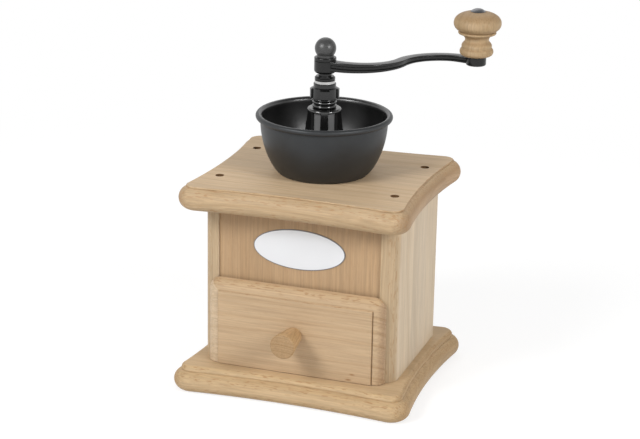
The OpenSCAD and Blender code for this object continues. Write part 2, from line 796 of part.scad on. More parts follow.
module crank_arm() {
    fillet = 2.2;
    slope_end = crank_reach - 0.35*boss_d;
    color(black) translate([0, 0, z_arm]) rotate(crank_angle) difference() {
        union() {
            intersection() {
                union() {
                    arm_layer(arm_w, -arm_hub_h, -arm_groove_h/2);
                    arm_layer(arm_w - 2*arm_groove_d, -arm_groove_h, arm_groove_h);
                    arm_layer(arm_w, arm_groove_h/2, arm_hub_h);
                }
                rotate([90, 0, 0]) linear_extrude(4*crank_bow, center = true) polygon([
                    [-hub_d, -arm_hub_h/2], [0, -arm_hub_h/2], [0.6*crank_reach, -arm_end_h/2],
                    [slope_end - boss_slope_l, -arm_end_h/2], [slope_end, 0.6 - boss_h/2],
                    [crank_reach + boss_d, 0.6 - boss_h/2], [crank_reach + boss_d, arm_end_h/2],
                    [0.6*crank_reach, arm_end_h/2], [0, arm_hub_h/2], [-hub_d, arm_hub_h/2]
                ]);
            }
            translate([0, 0, z_hub - z_arm]) rotate_extrude() polygon(concat(
                [[0, 0], [hub_d/2 - fillet, 0]],
                arc([hub_d/2 - fillet, fillet], fillet, fillet, -75, 0, 5),
                [[hub_d/2, hub_h - 0.6], [hub_d/2 - 0.6, hub_h], [0, hub_h]]
            ));
            translate([crank_reach, 0, -boss_h/2]) rotate_extrude() polygon([
                [0, 0], [boss_d/2 - 0.8, 0], [boss_d/2, 0.8], [boss_d/2, boss_h - 0.5],
                [boss_d/2 - 0.5, boss_h], [0, boss_h]
            ]);
        }
        rotate(-crank_angle) translate([-square_w/2 - press_fit, -square_w/2 - press_fit, z_hub - z_arm - 1])
            cube([square_w + 2*press_fit, square_w + 2*press_fit, hub_h + 2]);
        translate([crank_reach, 0, -boss_h]) cylinder(d = pin_d + 2*press_fit, h = 2*boss_h);
    }
}

module ball_nut() {
    color(black) difference() {
        union() {
            intersection() {
                translate([0, 0, z_hub_top + ball_up]) sphere(d = ball_d);
                ring(2*ball_d, z_hub_top + 1, z_hub_top + 2*ball_d);
            }
            ring(ball_neck_d, z_hub_top, z_hub_top + 2);
        }
        translate([0, 0, z_hub_top - 1]) cylinder(d = tip_d + 2*press_fit, h = z_tip - z_hub_top + 1.5);
    }
}

// Places its children on the crank knob's axis
module at_knob() {
    rotate(crank_angle) translate([crank_reach, 0, 0]) children();
}

module knob_pin() {
    cap_r = (pow(pin_head_d/2, 2) + pow(pin_head_h, 2))/(2*pin_head_h);
    z_head = z_knob_top + knob_gap;
    color(steel) at_knob() {
        ring(pin_d, z_boss_top - boss_h - 0.4, z_head + 0.5);
        intersection() {
            translate([0, 0, z_head + pin_head_h - cap_r]) sphere(r = cap_r);
            ring(2*pin_head_d, z_head, z_head + 2*pin_head_h);
        }
    }
}

module crank_knob() {
    foot_r = knob_foot_d/2;
    waist_r = knob_waist_d/2;
    bead_r = knob_bead_d/2;
    head_r = knob_d/2;
    z_bead = 0.495*knob_h;
    z_head = 0.74*knob_h;
    bead = 1.8;
    seat_r = pin_head_d/2 + 0.3;
    crown_end = acos((seat_r + 1.2)/head_r);
    neck_curve = [
        [foot_r - 1.2, 4.6], [waist_r - 0.2, 7.4], [waist_r - 1.1, z_bead - 3.8],
        [bead_r - 1.1, z_bead - 1.65]
    ];
    color(beech) at_knob() translate([0, 0, z_knob]) rotate_extrude() polygon(concat(
        [[pin_d/2 + run_fit, 0]],
        arc([foot_r - 2.6, 2], 2.6, 2, -90, 55, 8),
        curve(neck_curve, 12),
        arc([bead_r - bead, z_bead], bead, bead, -60, 65, 8),
        arc([head_r - 8, z_head], 8, z_head - z_bead - 1.4, -58, 0, 8),
        arc([0, z_head], head_r, knob_crown_h, 6, crown_end, 12),
        [[seat_r, knob_h], [pin_d/2 + run_fit, knob_h]]
    ));
}

// Section through the drawer front's edge: x runs outwards, y back from the face
module mould_section(inset) {
    step_x = front_corner_r - mould_w;
    depth = drawer_front_t - mould_step - 0.2;
    polygon(concat(
        [[-inset, 0], [step_x, 0], [step_x, mould_step]],
        arc([step_x, mould_step + depth], mould_w, depth, -90, 0, 10),
        [[front_corner_r, drawer_front_t], [-inset, drawer_front_t]]
    ));
}

module drawer_front() {
    kx = drawer_front_w/2 - front_corner_r;
    kz = drawer_front_h - front_corner_r;
    color(beech) difference() {
        translate([0, drawer_face_y, z_front]) {
            translate([-kx, 0, 0]) cube([2*kx, drawer_front_t, kz]);
            for (s = [0, 1]) mirror([s, 0, 0]) {
                translate([kx, 0, 0]) linear_extrude(kz) mould_section(1);
                translate([kx, 0, kz]) rotate([-90, 0, 0]) rotate_extrude() intersection() {
                    mould_section(1);
                    square([front_corner_r, drawer_front_t]);
                }
            }
            translate([-kx, 0, kz]) rotate([90, 0, 90]) linear_extrude(2*kx) rotate(90) mirror([0, 1])
                mould_section(1);
        }
        drawer_knob_place() translate([0, 0, -1])
            cylinder(d = knob_tenon_d + 2*press_fit, h = drawer_front_t + 2);
    }
}

// Puts its children on the drawer knob's axis, +Z pointing out of the drawer, from the front's back
knob_tenon_d = 7;
module drawer_knob_place() {
    translate([0, drawer_back_y, z_front + drawer_knob_up]) rotate([90, 0, 0]) children();
}

module drawer_knob() {
    root = drawer_front_t;
    end = root + drawer_knob_len;
    r = drawer_knob_end_d/2;
    hole_r = knob_screw_d/2 + press_fit;
    color(beech) drawer_knob_place() difference() {
        rotate_extrude() polygon(concat(
            [[0, 0], [knob_tenon_d/2, 0], [knob_tenon_d/2, root], [drawer_knob_root_d/2, root]],
            [[drawer_knob_root_d/2 + 0.4, root + 1.5]],
            arc([r - 1.5, end - 1.5], 1.5, 1.2, 10, 90, 5),
            [[r - 5, end], [0, end]]
        ));
        translate([0, 0, -1]) cylinder(r = hole_r, h = knob_screw_l + 1.5);
    }
}

knob_screw_d = 3.4;
knob_screw_l = 18;
module drawer_knob_screw() {
    head_h = 2.2;
    color(steel) drawer_knob_place() difference() {
        union() {
            cylinder(d = knob_screw_d, h = knob_screw_l);
            translate([0, 0, -head_h]) cylinder(d = 2.6*knob_screw_d, h = head_h);
        }
        translate([0, 0, -head_h]) mirror([0, 0, 1]) cross_recess(3.2, 1);
    }
}

module drawer_right() {
    floor_z = z_drawer + floor_lip;
    color(beech) difference() {
        translate([drawer_w/2 - drawer_wall_t, drawer_back_y, z_drawer])
            cube([drawer_wall_t, drawer_len, drawer_wall_h]);
        translate([drawer_w/2 - drawer_wall_t - 1, drawer_back_y - 1, floor_z - groove_gap])
            cube([floor_groove_d + 1, drawer_len + 2, drawer_floor_t + 2*groove_gap]);
    }
}

module drawer_left() {
    mirror([1, 0, 0]) drawer_right();
}

module drawer_back() {
    w = drawer_w - 2*drawer_wall_t;
    z0 = z_drawer + floor_lip + drawer_floor_t;
    color(beech) translate([-w/2, drawer_back_y + drawer_len - drawer_wall_t, z0])
        cube([w, drawer_wall_t, z_drawer + drawer_wall_h - z0]);
}

module drawer_floor() {
    w = drawer_w - 2*drawer_wall_t + 2*floor_groove_d - 2*groove_gap;
    color(beech) translate([-w/2, drawer_back_y, z_drawer + floor_lip])
        cube([w, drawer_len, drawer_floor_t]);
}

base_plate();
top_plate();
left_side();
right_side();
front_panel();
back_panel();
oval_plate();
top_screws();
base_screws();
hopper_bowl();
bell();
mill_screws();
outer_burr();
lower_bridge();
bridge_screws();
upper_bush();
lower_bush();
spindle();
inner_burr();
burr_pin();
lock_collar();
crank_arm();
ball_nut();
knob_pin();
thrust_washer();
adjusting_nut();
spring_washer();
crank_knob();
drawer_front();
drawer_left();
drawer_right();
drawer_back();
drawer_floor();
drawer_knob();
drawer_knob_screw();
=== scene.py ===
"""Looks of the hand grain mill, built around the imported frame. Metres, +Z up, drawer towards -Y."""
import json
import math

import bmesh
import bpy
from mathutils import Matrix, Vector


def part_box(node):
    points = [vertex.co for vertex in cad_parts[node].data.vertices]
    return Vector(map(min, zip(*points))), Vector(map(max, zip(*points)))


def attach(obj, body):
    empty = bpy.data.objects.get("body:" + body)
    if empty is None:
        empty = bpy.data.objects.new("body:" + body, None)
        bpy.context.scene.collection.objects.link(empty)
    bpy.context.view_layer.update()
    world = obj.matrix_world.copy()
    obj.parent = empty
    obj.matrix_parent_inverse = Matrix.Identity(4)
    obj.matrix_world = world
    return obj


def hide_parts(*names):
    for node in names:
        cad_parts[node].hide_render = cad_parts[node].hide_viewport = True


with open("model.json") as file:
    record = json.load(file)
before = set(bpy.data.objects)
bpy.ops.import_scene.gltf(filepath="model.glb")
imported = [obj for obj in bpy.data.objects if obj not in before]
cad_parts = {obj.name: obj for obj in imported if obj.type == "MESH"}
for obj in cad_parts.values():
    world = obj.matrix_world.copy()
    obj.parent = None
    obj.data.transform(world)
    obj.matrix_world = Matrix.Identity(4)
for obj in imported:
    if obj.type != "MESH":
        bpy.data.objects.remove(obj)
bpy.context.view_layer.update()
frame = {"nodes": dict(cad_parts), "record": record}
NODES = frame["nodes"]
RECORD = frame["record"]
MM = 0.001

# Camera: fitted to the photograph, which is 640 pixels wide
PHOTO_W = 640
FOCAL_PX = 1951.6
CAM_AZIMUTH = math.radians(18.80)
CAM_ELEVATION = math.radians(18.42)
CAM_ROLL = math.radians(1.03)
CAM_DISTANCE = 1.36793
CAM_ASIDE = -0.00167
CAM_TARGET_Z = 0.11404
CAM_CLIP = (0.05, 50)
SENSOR_W = 36.0

# Slack for choosing faces by their place
PICK_SLACK = 0.1 * MM

# Boards: the moulded edge of the solids, the screw holes and the throat
CORNER_R = 13.5 * MM
SCALLOP = 4.0 * MM
STEP_IN = 5.2 * MM
STEP_QUIRK = 0.4 * MM
BASE_BEAD_R = 7.4 * MM
BASE_CAP_R = 3.4 * MM
TOP_BEAD_R = 8.0 * MM
TOP_CAP_R = 0.8 * MM
CASE_SCREW_X = 63 * MM
CASE_SCREW_Y = 36 * MM
SCREW_HOLE_R = 3.05 * MM
THROAT_R = 12.5 * MM
HOLE_PAST = 2 * MM

# Drawer front: its quirk is deep at the last points of the path, which run down the right edge
MOULD_W = 8.0 * MM
MOULD_STEP = 1.0 * MM
MOULD_STEPS = 20
FRONT_CORNER_R = 8.5 * MM
FRONT_CORNER_STEPS = 14
FRONT_SIDE_STEPS = 12
FRONT_RIM = 0.8 * MM
FRONT_EASE = 0.3 * MM
QUIRK_W = 0.6 * MM
QUIRK_DEPTH = 0.9 * MM
QUIRK_POINTS = 16
QUIRK_ELSEWHERE = 0.1

# Oval plate: PLATE_EDGE rounds the rim's outer edge, as (inwards, below the rim's height)
PLATE_RIM_W = 0.6 * MM
PLATE_RIM_H = 0.7 * MM
PLATE_RIM_LIFT = 0.02 * MM
PLATE_EDGE = ((0, 0.25 * MM), (0.08 * MM, 0.07 * MM), (0.25 * MM, 0))
PLATE_STEPS = 160
PLATE_INSIDE = 0.999
CROWN_STEPS = 10
CROWN_REACH = 0.96

# Bowl
BOWL_T = 1.2 * MM
RIM_R = 2.0 * MM
RIM_ROLL = (225, 495)
LIP_IN = 0.8 * MM
LIP_DOWN = 0.5 * MM
LIP_REACH = 2.2 * MM
BOWL_FLOOR_R = 30.25 * MM
FLOOR_REACH = 2.7 * MM
FLOOR_FACING = 0.6
WALL_X = 44.1 * MM
WALL_REACH = 24.8 * MM
BOWL_STEPS = 40

# Bell: gaps between its legs show its core, whose light grey is painted light
BELL_LEGS = 6
BELL_GAP = 35.0
BELL_CORE_R = 9.4 * MM
BELL_ANGLE = -71.0
BELL_GAP_PAST = 4 * MM
BELL_GAP_LOW = 0.4 * MM
BELL_GAP_HIGH = 1.8 * MM
BELL_CORE_TOP = 2 * MM
BELL_STEPS = 24
CAVITY_TOP = 0.55
SHOULDER_R = 11.8 * MM
SHOULDER_ROUND = 1.5 * MM
SHOULDER_FLARE = 1.4 * MM
SHOULDER_FROM = 0.62
LEG_R = 19.0 * MM
LEG_T = 3.5 * MM
LEG_IN = 2 * MM
LEG_RISE = 9 * MM
FOOT_T = 3.0 * MM
FOOT_EASE = 0.3 * MM
FOOT_ROUND = 0.5 * MM
NECK_R = 8.4 * MM
NECK_H = 5.4 * MM
BUSH_R = 5.92 * MM

# Crank: HUB_GROOVE runs round its hub, as (inwards, up)
CRANK_ANGLE = math.radians(29)
CRANK_REACH = 106 * MM
CRANK_BOW = 13.3 * MM
ARM_W = 7.0 * MM
ARM_HUB_H = 7.0 * MM
ARM_END_H = 4.3 * MM
ARM_EDGE_R = 0.6 * MM
ARM_TAPER_TO = 0.6
ARM_FROM = 0.045
ARM_TO = 0.965
ARM_STEPS = 96
GROOVE_D = 0.9 * MM
GROOVE_H = 2.0 * MM
GROOVE_SLOPE = 0.3 * MM
GROOVE_BEND = 0.1 * MM
HUB_R = 7.6 * MM
HUB_BORE_R = 4.6 * MM
HUB_FILLET = 2.2 * MM
HUB_RING = 2.2 * MM
HUB_GROOVE = ((0, -0.5 * MM), (0.45 * MM, -0.25 * MM), (0.45 * MM, 0), (0, 0.2 * MM))
HUB_TOP_R = 0.6 * MM
ARM_UP = 0.52
BOSS_R = 7.0 * MM
BOSS_H = 6.3 * MM
BOSS_BORE_R = 2.52 * MM
BOSS_LOW_R = MM
BOSS_TOP_R = 0.5 * MM
BOSS_LAP = 0.6 * MM
BOSS_SLOPE_L = 12 * MM
BOSS_SLOPE_END = 0.7

# Crank knob: KNOB_STEP and KNOB_FLARE are control points of its curves, as (radius, height)
KNOB_BORE_R = 2.55 * MM
KNOB_FOOT_R = 11.7 * MM
KNOB_FOOT_ROUND = 3.2 * MM
KNOB_STEP_R = 10.35 * MM
KNOB_WAIST_R = 8.25 * MM
KNOB_WAIST_Z = 11.3 * MM
KNOB_COLLAR_R = 13.2 * MM
KNOB_COLLAR_Z = 16.4 * MM
KNOB_COLLAR_ROUND = 1.0 * MM
KNOB_GROOVE_D = 0.7 * MM
KNOB_STEP = ((KNOB_STEP_R, 6.1 * MM), (KNOB_STEP_R + 0.85 * MM, 8.8 * MM),
             (KNOB_WAIST_R + 0.35 * MM, 9.4 * MM), (KNOB_WAIST_R, KNOB_WAIST_Z))
KNOB_FLARE = ((KNOB_WAIST_R, KNOB_WAIST_Z), (KNOB_WAIST_R, KNOB_WAIST_Z + 1.6 * MM),
              (KNOB_WAIST_R + MM, KNOB_COLLAR_Z - 2 * MM),
              (KNOB_COLLAR_R - 1.1 * MM, KNOB_COLLAR_Z - KNOB_COLLAR_ROUND))
KNOB_STEPS = 16
KNOB_HEAD_AT = 0.74
KNOB_HEAD_RX = 8 * MM
KNOB_HEAD_RZ = 6.2 * MM
KNOB_HEAD_FROM = -57
KNOB_CROWN_STEPS = 24
KNOB_FULL = 2.3
KNOB_SEAT_R = 5.5 * MM

# Kept CAD nodes whose sharp edges are eased
EASE_W = 0.25 * MM
EASED = ("left_side", "right_side", "front_panel", "back_panel",
         "drawer_left", "drawer_right", "drawer_back")


# Node helpers for materials

def new_material(name):
    """New material with its node tree, cleared to a Principled shader."""
    mat = bpy.data.materials.new(name)
    mat.use_nodes = True
    tree = mat.node_tree
    tree.nodes.clear()
    out = tree.nodes.new("ShaderNodeOutputMaterial")
    bsdf = tree.nodes.new("ShaderNodeBsdfPrincipled")
    tree.links.new(bsdf.outputs["BSDF"], out.inputs["Surface"])
    return mat, tree, bsdf


def add(tree, kind, links=None, **values):
    """New node with its settings and inputs: a value sets a property or a socket, links joins sockets."""
    node = tree.nodes.new("ShaderNode" + kind)
    for key, value in values.items():
        if hasattr(node, key):
            setattr(node, key, value)
        else:
            node.inputs[key].default_value = value
    for key, source in (links or {}).items():
        tree.links.new(source, node.inputs[key])
    return node


def maths(tree, operation, *terms):
    """Math node over sockets and plain numbers."""
    node = tree.nodes.new("ShaderNodeMath")
    node.operation = operation
    for socket, term in zip(node.inputs, terms):
        if hasattr(term, "node"):
            tree.links.new(term, socket)
        else:
            socket.default_value = term
    return node.outputs[0]


def spread_over(tree, source, low, high, from_low=0.0, from_high=1.0):
    """Source, mapped from one range to another and held within it."""
    return add(tree, "MapRange", {"Value": source}, **{
        "From Min": from_low, "From Max": from_high, "To Min": low, "To Max": high}).outputs["Result"]


def ramp(tree, source, stops):
    """Colour ramp over source with (position, grey or colour) stops."""
    node = tree.nodes.new("ShaderNodeValToRGB")
    tree.links.new(source, node.inputs["Fac"])
    elements = node.color_ramp.elements
    while len(elements) < len(stops):
        elements.new(0.5)
    for element, (pos, col) in zip(elements, stops):
        element.position = pos
        element.color = (col, col, col, 1) if isinstance(col, (int, float)) else (*col, 1)
    return node.outputs["Color"]


def mix(tree, kind, fac, a, b):
    """Colour mix of the given blend kind; fac, a and b are sockets or plain values."""
    node = tree.nodes.new("ShaderNodeMix")
    node.data_type = "RGBA"
    node.blend_type = kind
    for socket, value in ((node.inputs[0], fac), (node.inputs[6], a), (node.inputs[7], b)):
        if hasattr(value, "node"):
            tree.links.new(value, socket)
        elif isinstance(value, (int, float)):
            socket.default_value = value
        else:
            socket.default_value = (*value, 1)
    return node.outputs[2]


def linear(rgb):
    """8-bit sRGB colour as linear values."""
    return tuple(((c / 255 + 0.055) / 1.055) ** 2.4 if c > 10 else c / 255 / 12.92 for c in rgb)


def tinted(tone, factors):
    """Colour times a factor for each channel, held below white."""
    return tuple(min(1.0, c * f) for c, f in zip(tone, factors))


# Beech

GRAIN_TURN = {"X": (0, 0, 0), "Y": (0, 0, math.radians(-90)), "Z": (0, math.radians(90), 0)}
RINGS_PER_M = 420
RING_AT = (0.30, 0.52, 0.74)
RING_DARK = (0.85, 0.80, 0.73)
RING_LIGHT = (1.06, 1.07, 1.09)
FLECK_BROWN = (0.56, 0.43, 0.30)
KNOT_BROWN = (0.50, 0.36, 0.24)
END_BROWN = (0.85, 0.81, 0.77)
EDGE_GOLD = (0.94, 0.92, 0.86)
CORNER_GOLD = (0.79, 0.72, 0.62)
TOP_GOLD = (0.87, 0.84, 0.78)
TOP_END = (0.73, 0.67, 0.63)
PEG_END = (0.77, 0.75, 0.73)
# Tint for the drawer's right moulding: painted shade
DRAWER_SHADED_END = (0.87, 0.84, 0.82)
PLAIN = (1.0, 1.0, 1.0)

# Noise along the grain: features a metre along and across it, detail and roughness
SWAY = (4, 15, 2.0, 0.5)
FIBRES = (26, 1000, 3.0, 0.6)
CLOUDS = (6, 38, 2.0, 0.5)
FLECKS = (190, 1000, 1.0, 0.5)
RING_SWAY = 0.012
STAVE_SHIFT = 0.07
SHIFT_WAY = (1.0, 0.37, 0.71)

# Stops of the colour ramps, and the strength of the fibres in colour and of the flecks in bump
STAVE_STOPS = [(0.1, (0.95, 0.95, 0.96)), (0.9, (1.0, 0.99, 0.98))]
CLOUD_STOPS = [(0.32, 0.93), (0.68, 1.0)]
FIBRE_STOPS = [(0.32, 0.76), (0.66, 1.0)]
FLECK_STOPS = [(0.57, 0.0), (0.67, 1.0)]
FIBRE_SHARE = 0.85
FLECK_BUMP = 0.35

# Facings between which a surface turns to edge, front and end grain
EDGE_FACING = (0.99, 0.86)
FRONT_FACING = (0.1, 0.5)
END_FACING = (0.35, 0.85)

# Knots: darkness, size between full and none, and how much longer than high
KNOT_DARK = 0.9
KNOT_FADE = (0.25, 1.0)
KNOT_LONG = 3
WOOD_ROUGH = (0.50, 0.66)
WOOD_GLOSS = 0.28


def wood(name, axis, tone, shift, pith, stave=None, flat_flecks=0.10, edge_flecks=0.75, rings=0.5,
         ring_scale=1.0, gold=EDGE_GOLD, gold_front=False, end=END_BROWN, knots=()):
    """Planed beech with its grain along axis: growth rings round a far pith, fibres, flecks and end grain.

    shift sets the piece's own place in the noise, pith the tree's middle across the grain, stave the
    (axis, width, offset) of glued strips, and knots the (x, z, half length) of small dark spots on a front.
    Rounded edges are multiplied by gold, with gold_front the front and back too, and end grain by end.
    """
    mat, tree, bsdf = new_material(name)
    place = add(tree, "TexCoord").outputs["Object"]
    turned = add(tree, "Mapping", {"Vector": place}, Rotation=GRAIN_TURN[axis]).outputs["Vector"]
    moved = add(tree, "Mapping", {"Vector": turned},
                Location=[shift * f for f in SHIFT_WAY]).outputs["Vector"]

    def streaks(along, across, detail, rough):
        """Noise drawn out along the grain, with so many features a metre each way."""
        scaled = add(tree, "Mapping", {"Vector": moved}, Scale=(along, across, across)).outputs["Vector"]
        return add(tree, "TexNoise", {"Vector": scaled},
                   Scale=1.0, Detail=detail, Roughness=rough).outputs["Fac"]

    from_pith = add(tree, "Mapping", {"Vector": turned}, Location=(0, -pith[0], -pith[1]), Scale=(0, 1, 1))
    radius = add(tree, "VectorMath", {0: from_pith.outputs["Vector"]}, operation="LENGTH").outputs["Value"]
    sway = maths(tree, "MULTIPLY", maths(tree, "SUBTRACT", streaks(*SWAY), 0.5), RING_SWAY)
    radius = maths(tree, "ADD", radius, sway)
    if stave:
        side, width, offset = stave
        split = add(tree, "SeparateXYZ", {"Vector": turned})
        aside = maths(tree, "ADD", split.outputs[side], offset)
        strip = maths(tree, "FLOOR", maths(tree, "DIVIDE", aside, width))
        chance = add(tree, "TexWhiteNoise", {"W": maths(tree, "ADD", strip, shift)}, noise_dimensions="1D")
        radius = maths(tree, "ADD", radius, maths(tree, "MULTIPLY", chance.outputs["Value"], STAVE_SHIFT))
        warm = ramp(tree, chance.outputs["Value"], STAVE_STOPS)
    growth = add(tree, "TexNoise", {"W": maths(tree, "MULTIPLY", radius, RINGS_PER_M * ring_scale)},
                 noise_dimensions="1D", Scale=1.0, Detail=2.0, Roughness=0.6).outputs["Fac"]
    fibres = streaks(*FIBRES)
    clouds = streaks(*CLOUDS)
    flecks = streaks(*FLECKS)

    ring_tones = (tinted(tone, RING_DARK), tone, tinted(tone, RING_LIGHT))
    base = ramp(tree, growth, list(zip(RING_AT, ring_tones)))
    base = mix(tree, "MIX", rings, tone, base)
    base = mix(tree, "MULTIPLY", 1.0, base, ramp(tree, clouds, CLOUD_STOPS))
    base = mix(tree, "MULTIPLY", FIBRE_SHARE, base, ramp(tree, fibres, FIBRE_STOPS))
    if stave:
        base = mix(tree, "MULTIPLY", 1.0, base, warm)

    facing = add(tree, "VectorMath", {0: add(tree, "TexCoord").outputs["Normal"]}, operation="ABSOLUTE")
    facing = add(tree, "SeparateXYZ", {"Vector": facing.outputs["Vector"]}).outputs
    squareness = maths(tree, "MAXIMUM", maths(tree, "MAXIMUM", facing["X"], facing["Y"]), facing["Z"])
    rounded = warmed = spread_over(tree, squareness, 0.0, 1.0, *EDGE_FACING)
    if gold_front:
        warmed = maths(tree, "MAXIMUM", rounded, spread_over(tree, facing["Y"], 0.0, 1.0, *FRONT_FACING))
    base = mix(tree, "MULTIPLY", warmed, base, gold)
    base = mix(tree, "MULTIPLY", spread_over(tree, facing[axis], 0.0, 1.0, *END_FACING), base, end)
    amount = spread_over(tree, rounded, flat_flecks, edge_flecks)
    spots = ramp(tree, flecks, FLECK_STOPS)
    base = mix(tree, "MIX", maths(tree, "MULTIPLY", spots, amount), base, tinted(tone, FLECK_BROWN))
    for x, z, half in knots:
        near = add(tree, "Mapping", {"Vector": place}, Location=(-x / half, 0, -KNOT_LONG * z / half),
                   Scale=(1 / half, 0, KNOT_LONG / half)).outputs["Vector"]
        far = add(tree, "VectorMath", {0: near}, operation="LENGTH").outputs["Value"]
        dark = spread_over(tree, far, KNOT_DARK, 0.0, *KNOT_FADE)
        base = mix(tree, "MIX", dark, base, tinted(tone, KNOT_BROWN))
    tree.links.new(base, bsdf.inputs["Base Color"])
    tree.links.new(spread_over(tree, fibres, *WOOD_ROUGH), bsdf.inputs["Roughness"])
    height = mix(tree, "MIX", FLECK_BUMP, fibres, spots)
    bump = add(tree, "Bump", {"Height": height}, Strength=0.10, Distance=0.0002)
    tree.links.new(bump.outputs["Normal"], bsdf.inputs["Normal"])
    bsdf.inputs["Specular IOR Level"].default_value = WOOD_GLOSS
    return mat


# Metals and enamel

MOTTLE_SCALE = 60.0
MOTTLE_ROUGH = 0.05


def coated(name, tone, rough, grain=900.0, spread=0.12, depth=0.05, metallic=0.0, gloss=0.5, cool=1.0):
    """Painted, cast or bright metal: a faint mottle in colour and roughness, and a fine skin.

    grain and depth are the skin's, spread is the mottle's in colour, and cool under 1 makes the
    gloss bluer.
    """
    mat, tree, bsdf = new_material(name)
    place = add(tree, "TexCoord").outputs["Object"]
    cloud = add(tree, "TexNoise", {"Vector": place},
                Scale=MOTTLE_SCALE, Detail=4.0, Roughness=0.6).outputs["Fac"]
    skin = add(tree, "TexNoise", {"Vector": place}, Scale=grain, Detail=2.0, Roughness=0.5).outputs["Fac"]
    dark, light = tinted(tone, [1 - spread] * 3), tinted(tone, [1 + spread] * 3)
    tree.links.new(ramp(tree, cloud, [(0.35, dark), (0.65, light)]), bsdf.inputs["Base Color"])
    roughness = spread_over(tree, cloud, rough - MOTTLE_ROUGH, rough + MOTTLE_ROUGH)
    tree.links.new(roughness, bsdf.inputs["Roughness"])
    bump = add(tree, "Bump", {"Height": skin}, Strength=depth, Distance=0.0001)
    tree.links.new(bump.outputs["Normal"], bsdf.inputs["Normal"])
    bsdf.inputs["Metallic"].default_value = metallic
    bsdf.inputs["Specular IOR Level"].default_value = gloss
    bsdf.inputs["Specular Tint"].default_value = (cool, (1 + cool) / 2, 1, 1)
    return mat


# Looks of the nodes, then of the record's material slots, then of single faces

BEECH_TOP = linear((215, 188, 153))
BEECH_BASE = linear((206, 178, 140))
BEECH_FRONT = linear((189, 158, 122))
BEECH_DRAWER = linear((200, 172, 138))
# Paler beech for the drawer's left moulding: painted light
BEECH_LIT_PALE = linear((212, 188, 157))
BEECH_SIDE = linear((218, 199, 172))
BEECH_PEG = linear((198, 165, 124))
BEECH_KNOB = linear((184, 158, 124))
# Dark brown for the screw holes' walls: painted shade for the shadow inside them
BEECH_BORE_SHADE = linear((118, 88, 60))
GLOSS_BLACK = (0.006, 0.006, 0.006)
PANEL_STAVES = ("Z", 42.7 * MM, 41.9 * MM)
DRAWER_GRAIN = (6.27, (0.02, 0.155))
DRAWER_KNOTS = ((42.6 * MM, 25.3 * MM, 2.6 * MM), (40.0 * MM, 21.2 * MM, 2.8 * MM))
NODE_LOOKS = {
    "base_plate": wood("beech_base", "X", BEECH_BASE, 0.31, (0.05, -0.16), ("Y", 50 * MM, 0.021)),
    "top_plate": wood("beech_top", "X", BEECH_TOP, 1.73, (0.03, 0.02), ("Y", 46 * MM, 0.012), gold=TOP_GOLD,
                      gold_front=True, end=TOP_END),
    "left_side": wood("beech_left", "Z", BEECH_SIDE, 2.42, (0.02, -0.17), ("Y", 33 * MM, 0.004),
                      gold=CORNER_GOLD, gold_front=True),
    "right_side": wood("beech_right", "Z", BEECH_SIDE, 3.57, (0.02, 0.17), ("Y", 33 * MM, 0.010),
                       gold=CORNER_GOLD, gold_front=True),
    "front_panel": wood("beech_front", "Z", BEECH_FRONT, 4.13, (-0.10, 0.03), PANEL_STAVES, rings=0.35),
    "back_panel": wood("beech_back", "Z", BEECH_FRONT, 5.91, (0.13, 0.02), PANEL_STAVES),
    "drawer_front": wood("beech_drawer", "X", BEECH_DRAWER, *DRAWER_GRAIN, knots=DRAWER_KNOTS),
    "drawer_left": wood("beech_drawer_left", "Y", BEECH_SIDE, 7.7, (0.05, -0.10)),
    "drawer_right": wood("beech_drawer_right", "Y", BEECH_SIDE, 8.3, (0.03, -0.12)),
    "drawer_back": wood("beech_drawer_back", "X", BEECH_SIDE, 9.1, (0.12, -0.06)),
    "drawer_floor": wood("beech_drawer_floor", "X", BEECH_SIDE, 10.4, (0.02, 0.20)),
    "drawer_knob": wood("beech_peg", "Y", BEECH_PEG, 11.6, (0.0, 0.02), rings=1.0, ring_scale=2.0,
                        edge_flecks=0.25, end=PEG_END),
    "crank_knob": wood("beech_knob", "Z", BEECH_KNOB, 12.2, (0.05, -0.05), edge_flecks=0.25),
    "hopper_bowl": coated("bowl_black", (0.019, 0.020, 0.021), 0.44, gloss=0.44, cool=0.94),
    "bell": coated("bell_black", GLOSS_BLACK, 0.15, gloss=1.0),
    "adjusting_nut": coated("nut_black", GLOSS_BLACK, 0.15, gloss=0.6),
    "thrust_washer": coated("washer_black", GLOSS_BLACK, 0.15, gloss=0.6),
    "lock_collar": coated("collar_black", GLOSS_BLACK, 0.18, gloss=0.40),
    "spindle": coated("spindle_dark", (0.05, 0.05, 0.05), 0.25, metallic=1.0),
    "crank_arm": coated("crank_black", (0.008, 0.008, 0.008), 0.24, grain=1500.0, depth=0.10, gloss=0.40),
    "ball_nut": coated("ball_black", (0.05, 0.05, 0.05), 0.36),
    # Near-black brown screw heads: painted shade for the shadow in their holes
    "top_screws": coated("screw_dark_painted_shade", (0.030, 0.026, 0.022), 0.55, gloss=0.2),
    "knob_pin": coated("pin_steel", (0.27, 0.27, 0.28), 0.45, metallic=1.0),
    "spring_washer": coated("spring_steel", (0.58, 0.58, 0.57), 0.30, metallic=1.0),
}
SLOT_LOOKS = {
    "black_steel": coated("satin_black", (0.014, 0.014, 0.015), 0.30),
    "bright_steel": coated("bright_steel", (0.55, 0.55, 0.56), 0.28, metallic=1.0),
    "burr_iron": coated("burr_iron", (0.16, 0.16, 0.16), 0.50, depth=0.2, metallic=1.0),
    "bronze": coated("bush_bronze", (0.55, 0.38, 0.17), 0.35, metallic=1.0),
    "white_enamel": coated("white_enamel", (0.73, 0.74, 0.76), 0.30, spread=0.004, depth=0.02),
}
PLATE_RIM_LOOK = coated("plate_rim", (0.18, 0.18, 0.19), 0.35)
BOWL_INSIDE_LOOK = coated("bowl_inside", (0.004, 0.004, 0.004), 0.34, depth=0.02, gloss=1.0)
# Light grey for the bell's core between its legs: painted light seen in the gaps
CORE_LIGHT_LOOK = coated("core_grey_painted_light", (0.20, 0.20, 0.20), 0.38, gloss=0.6)
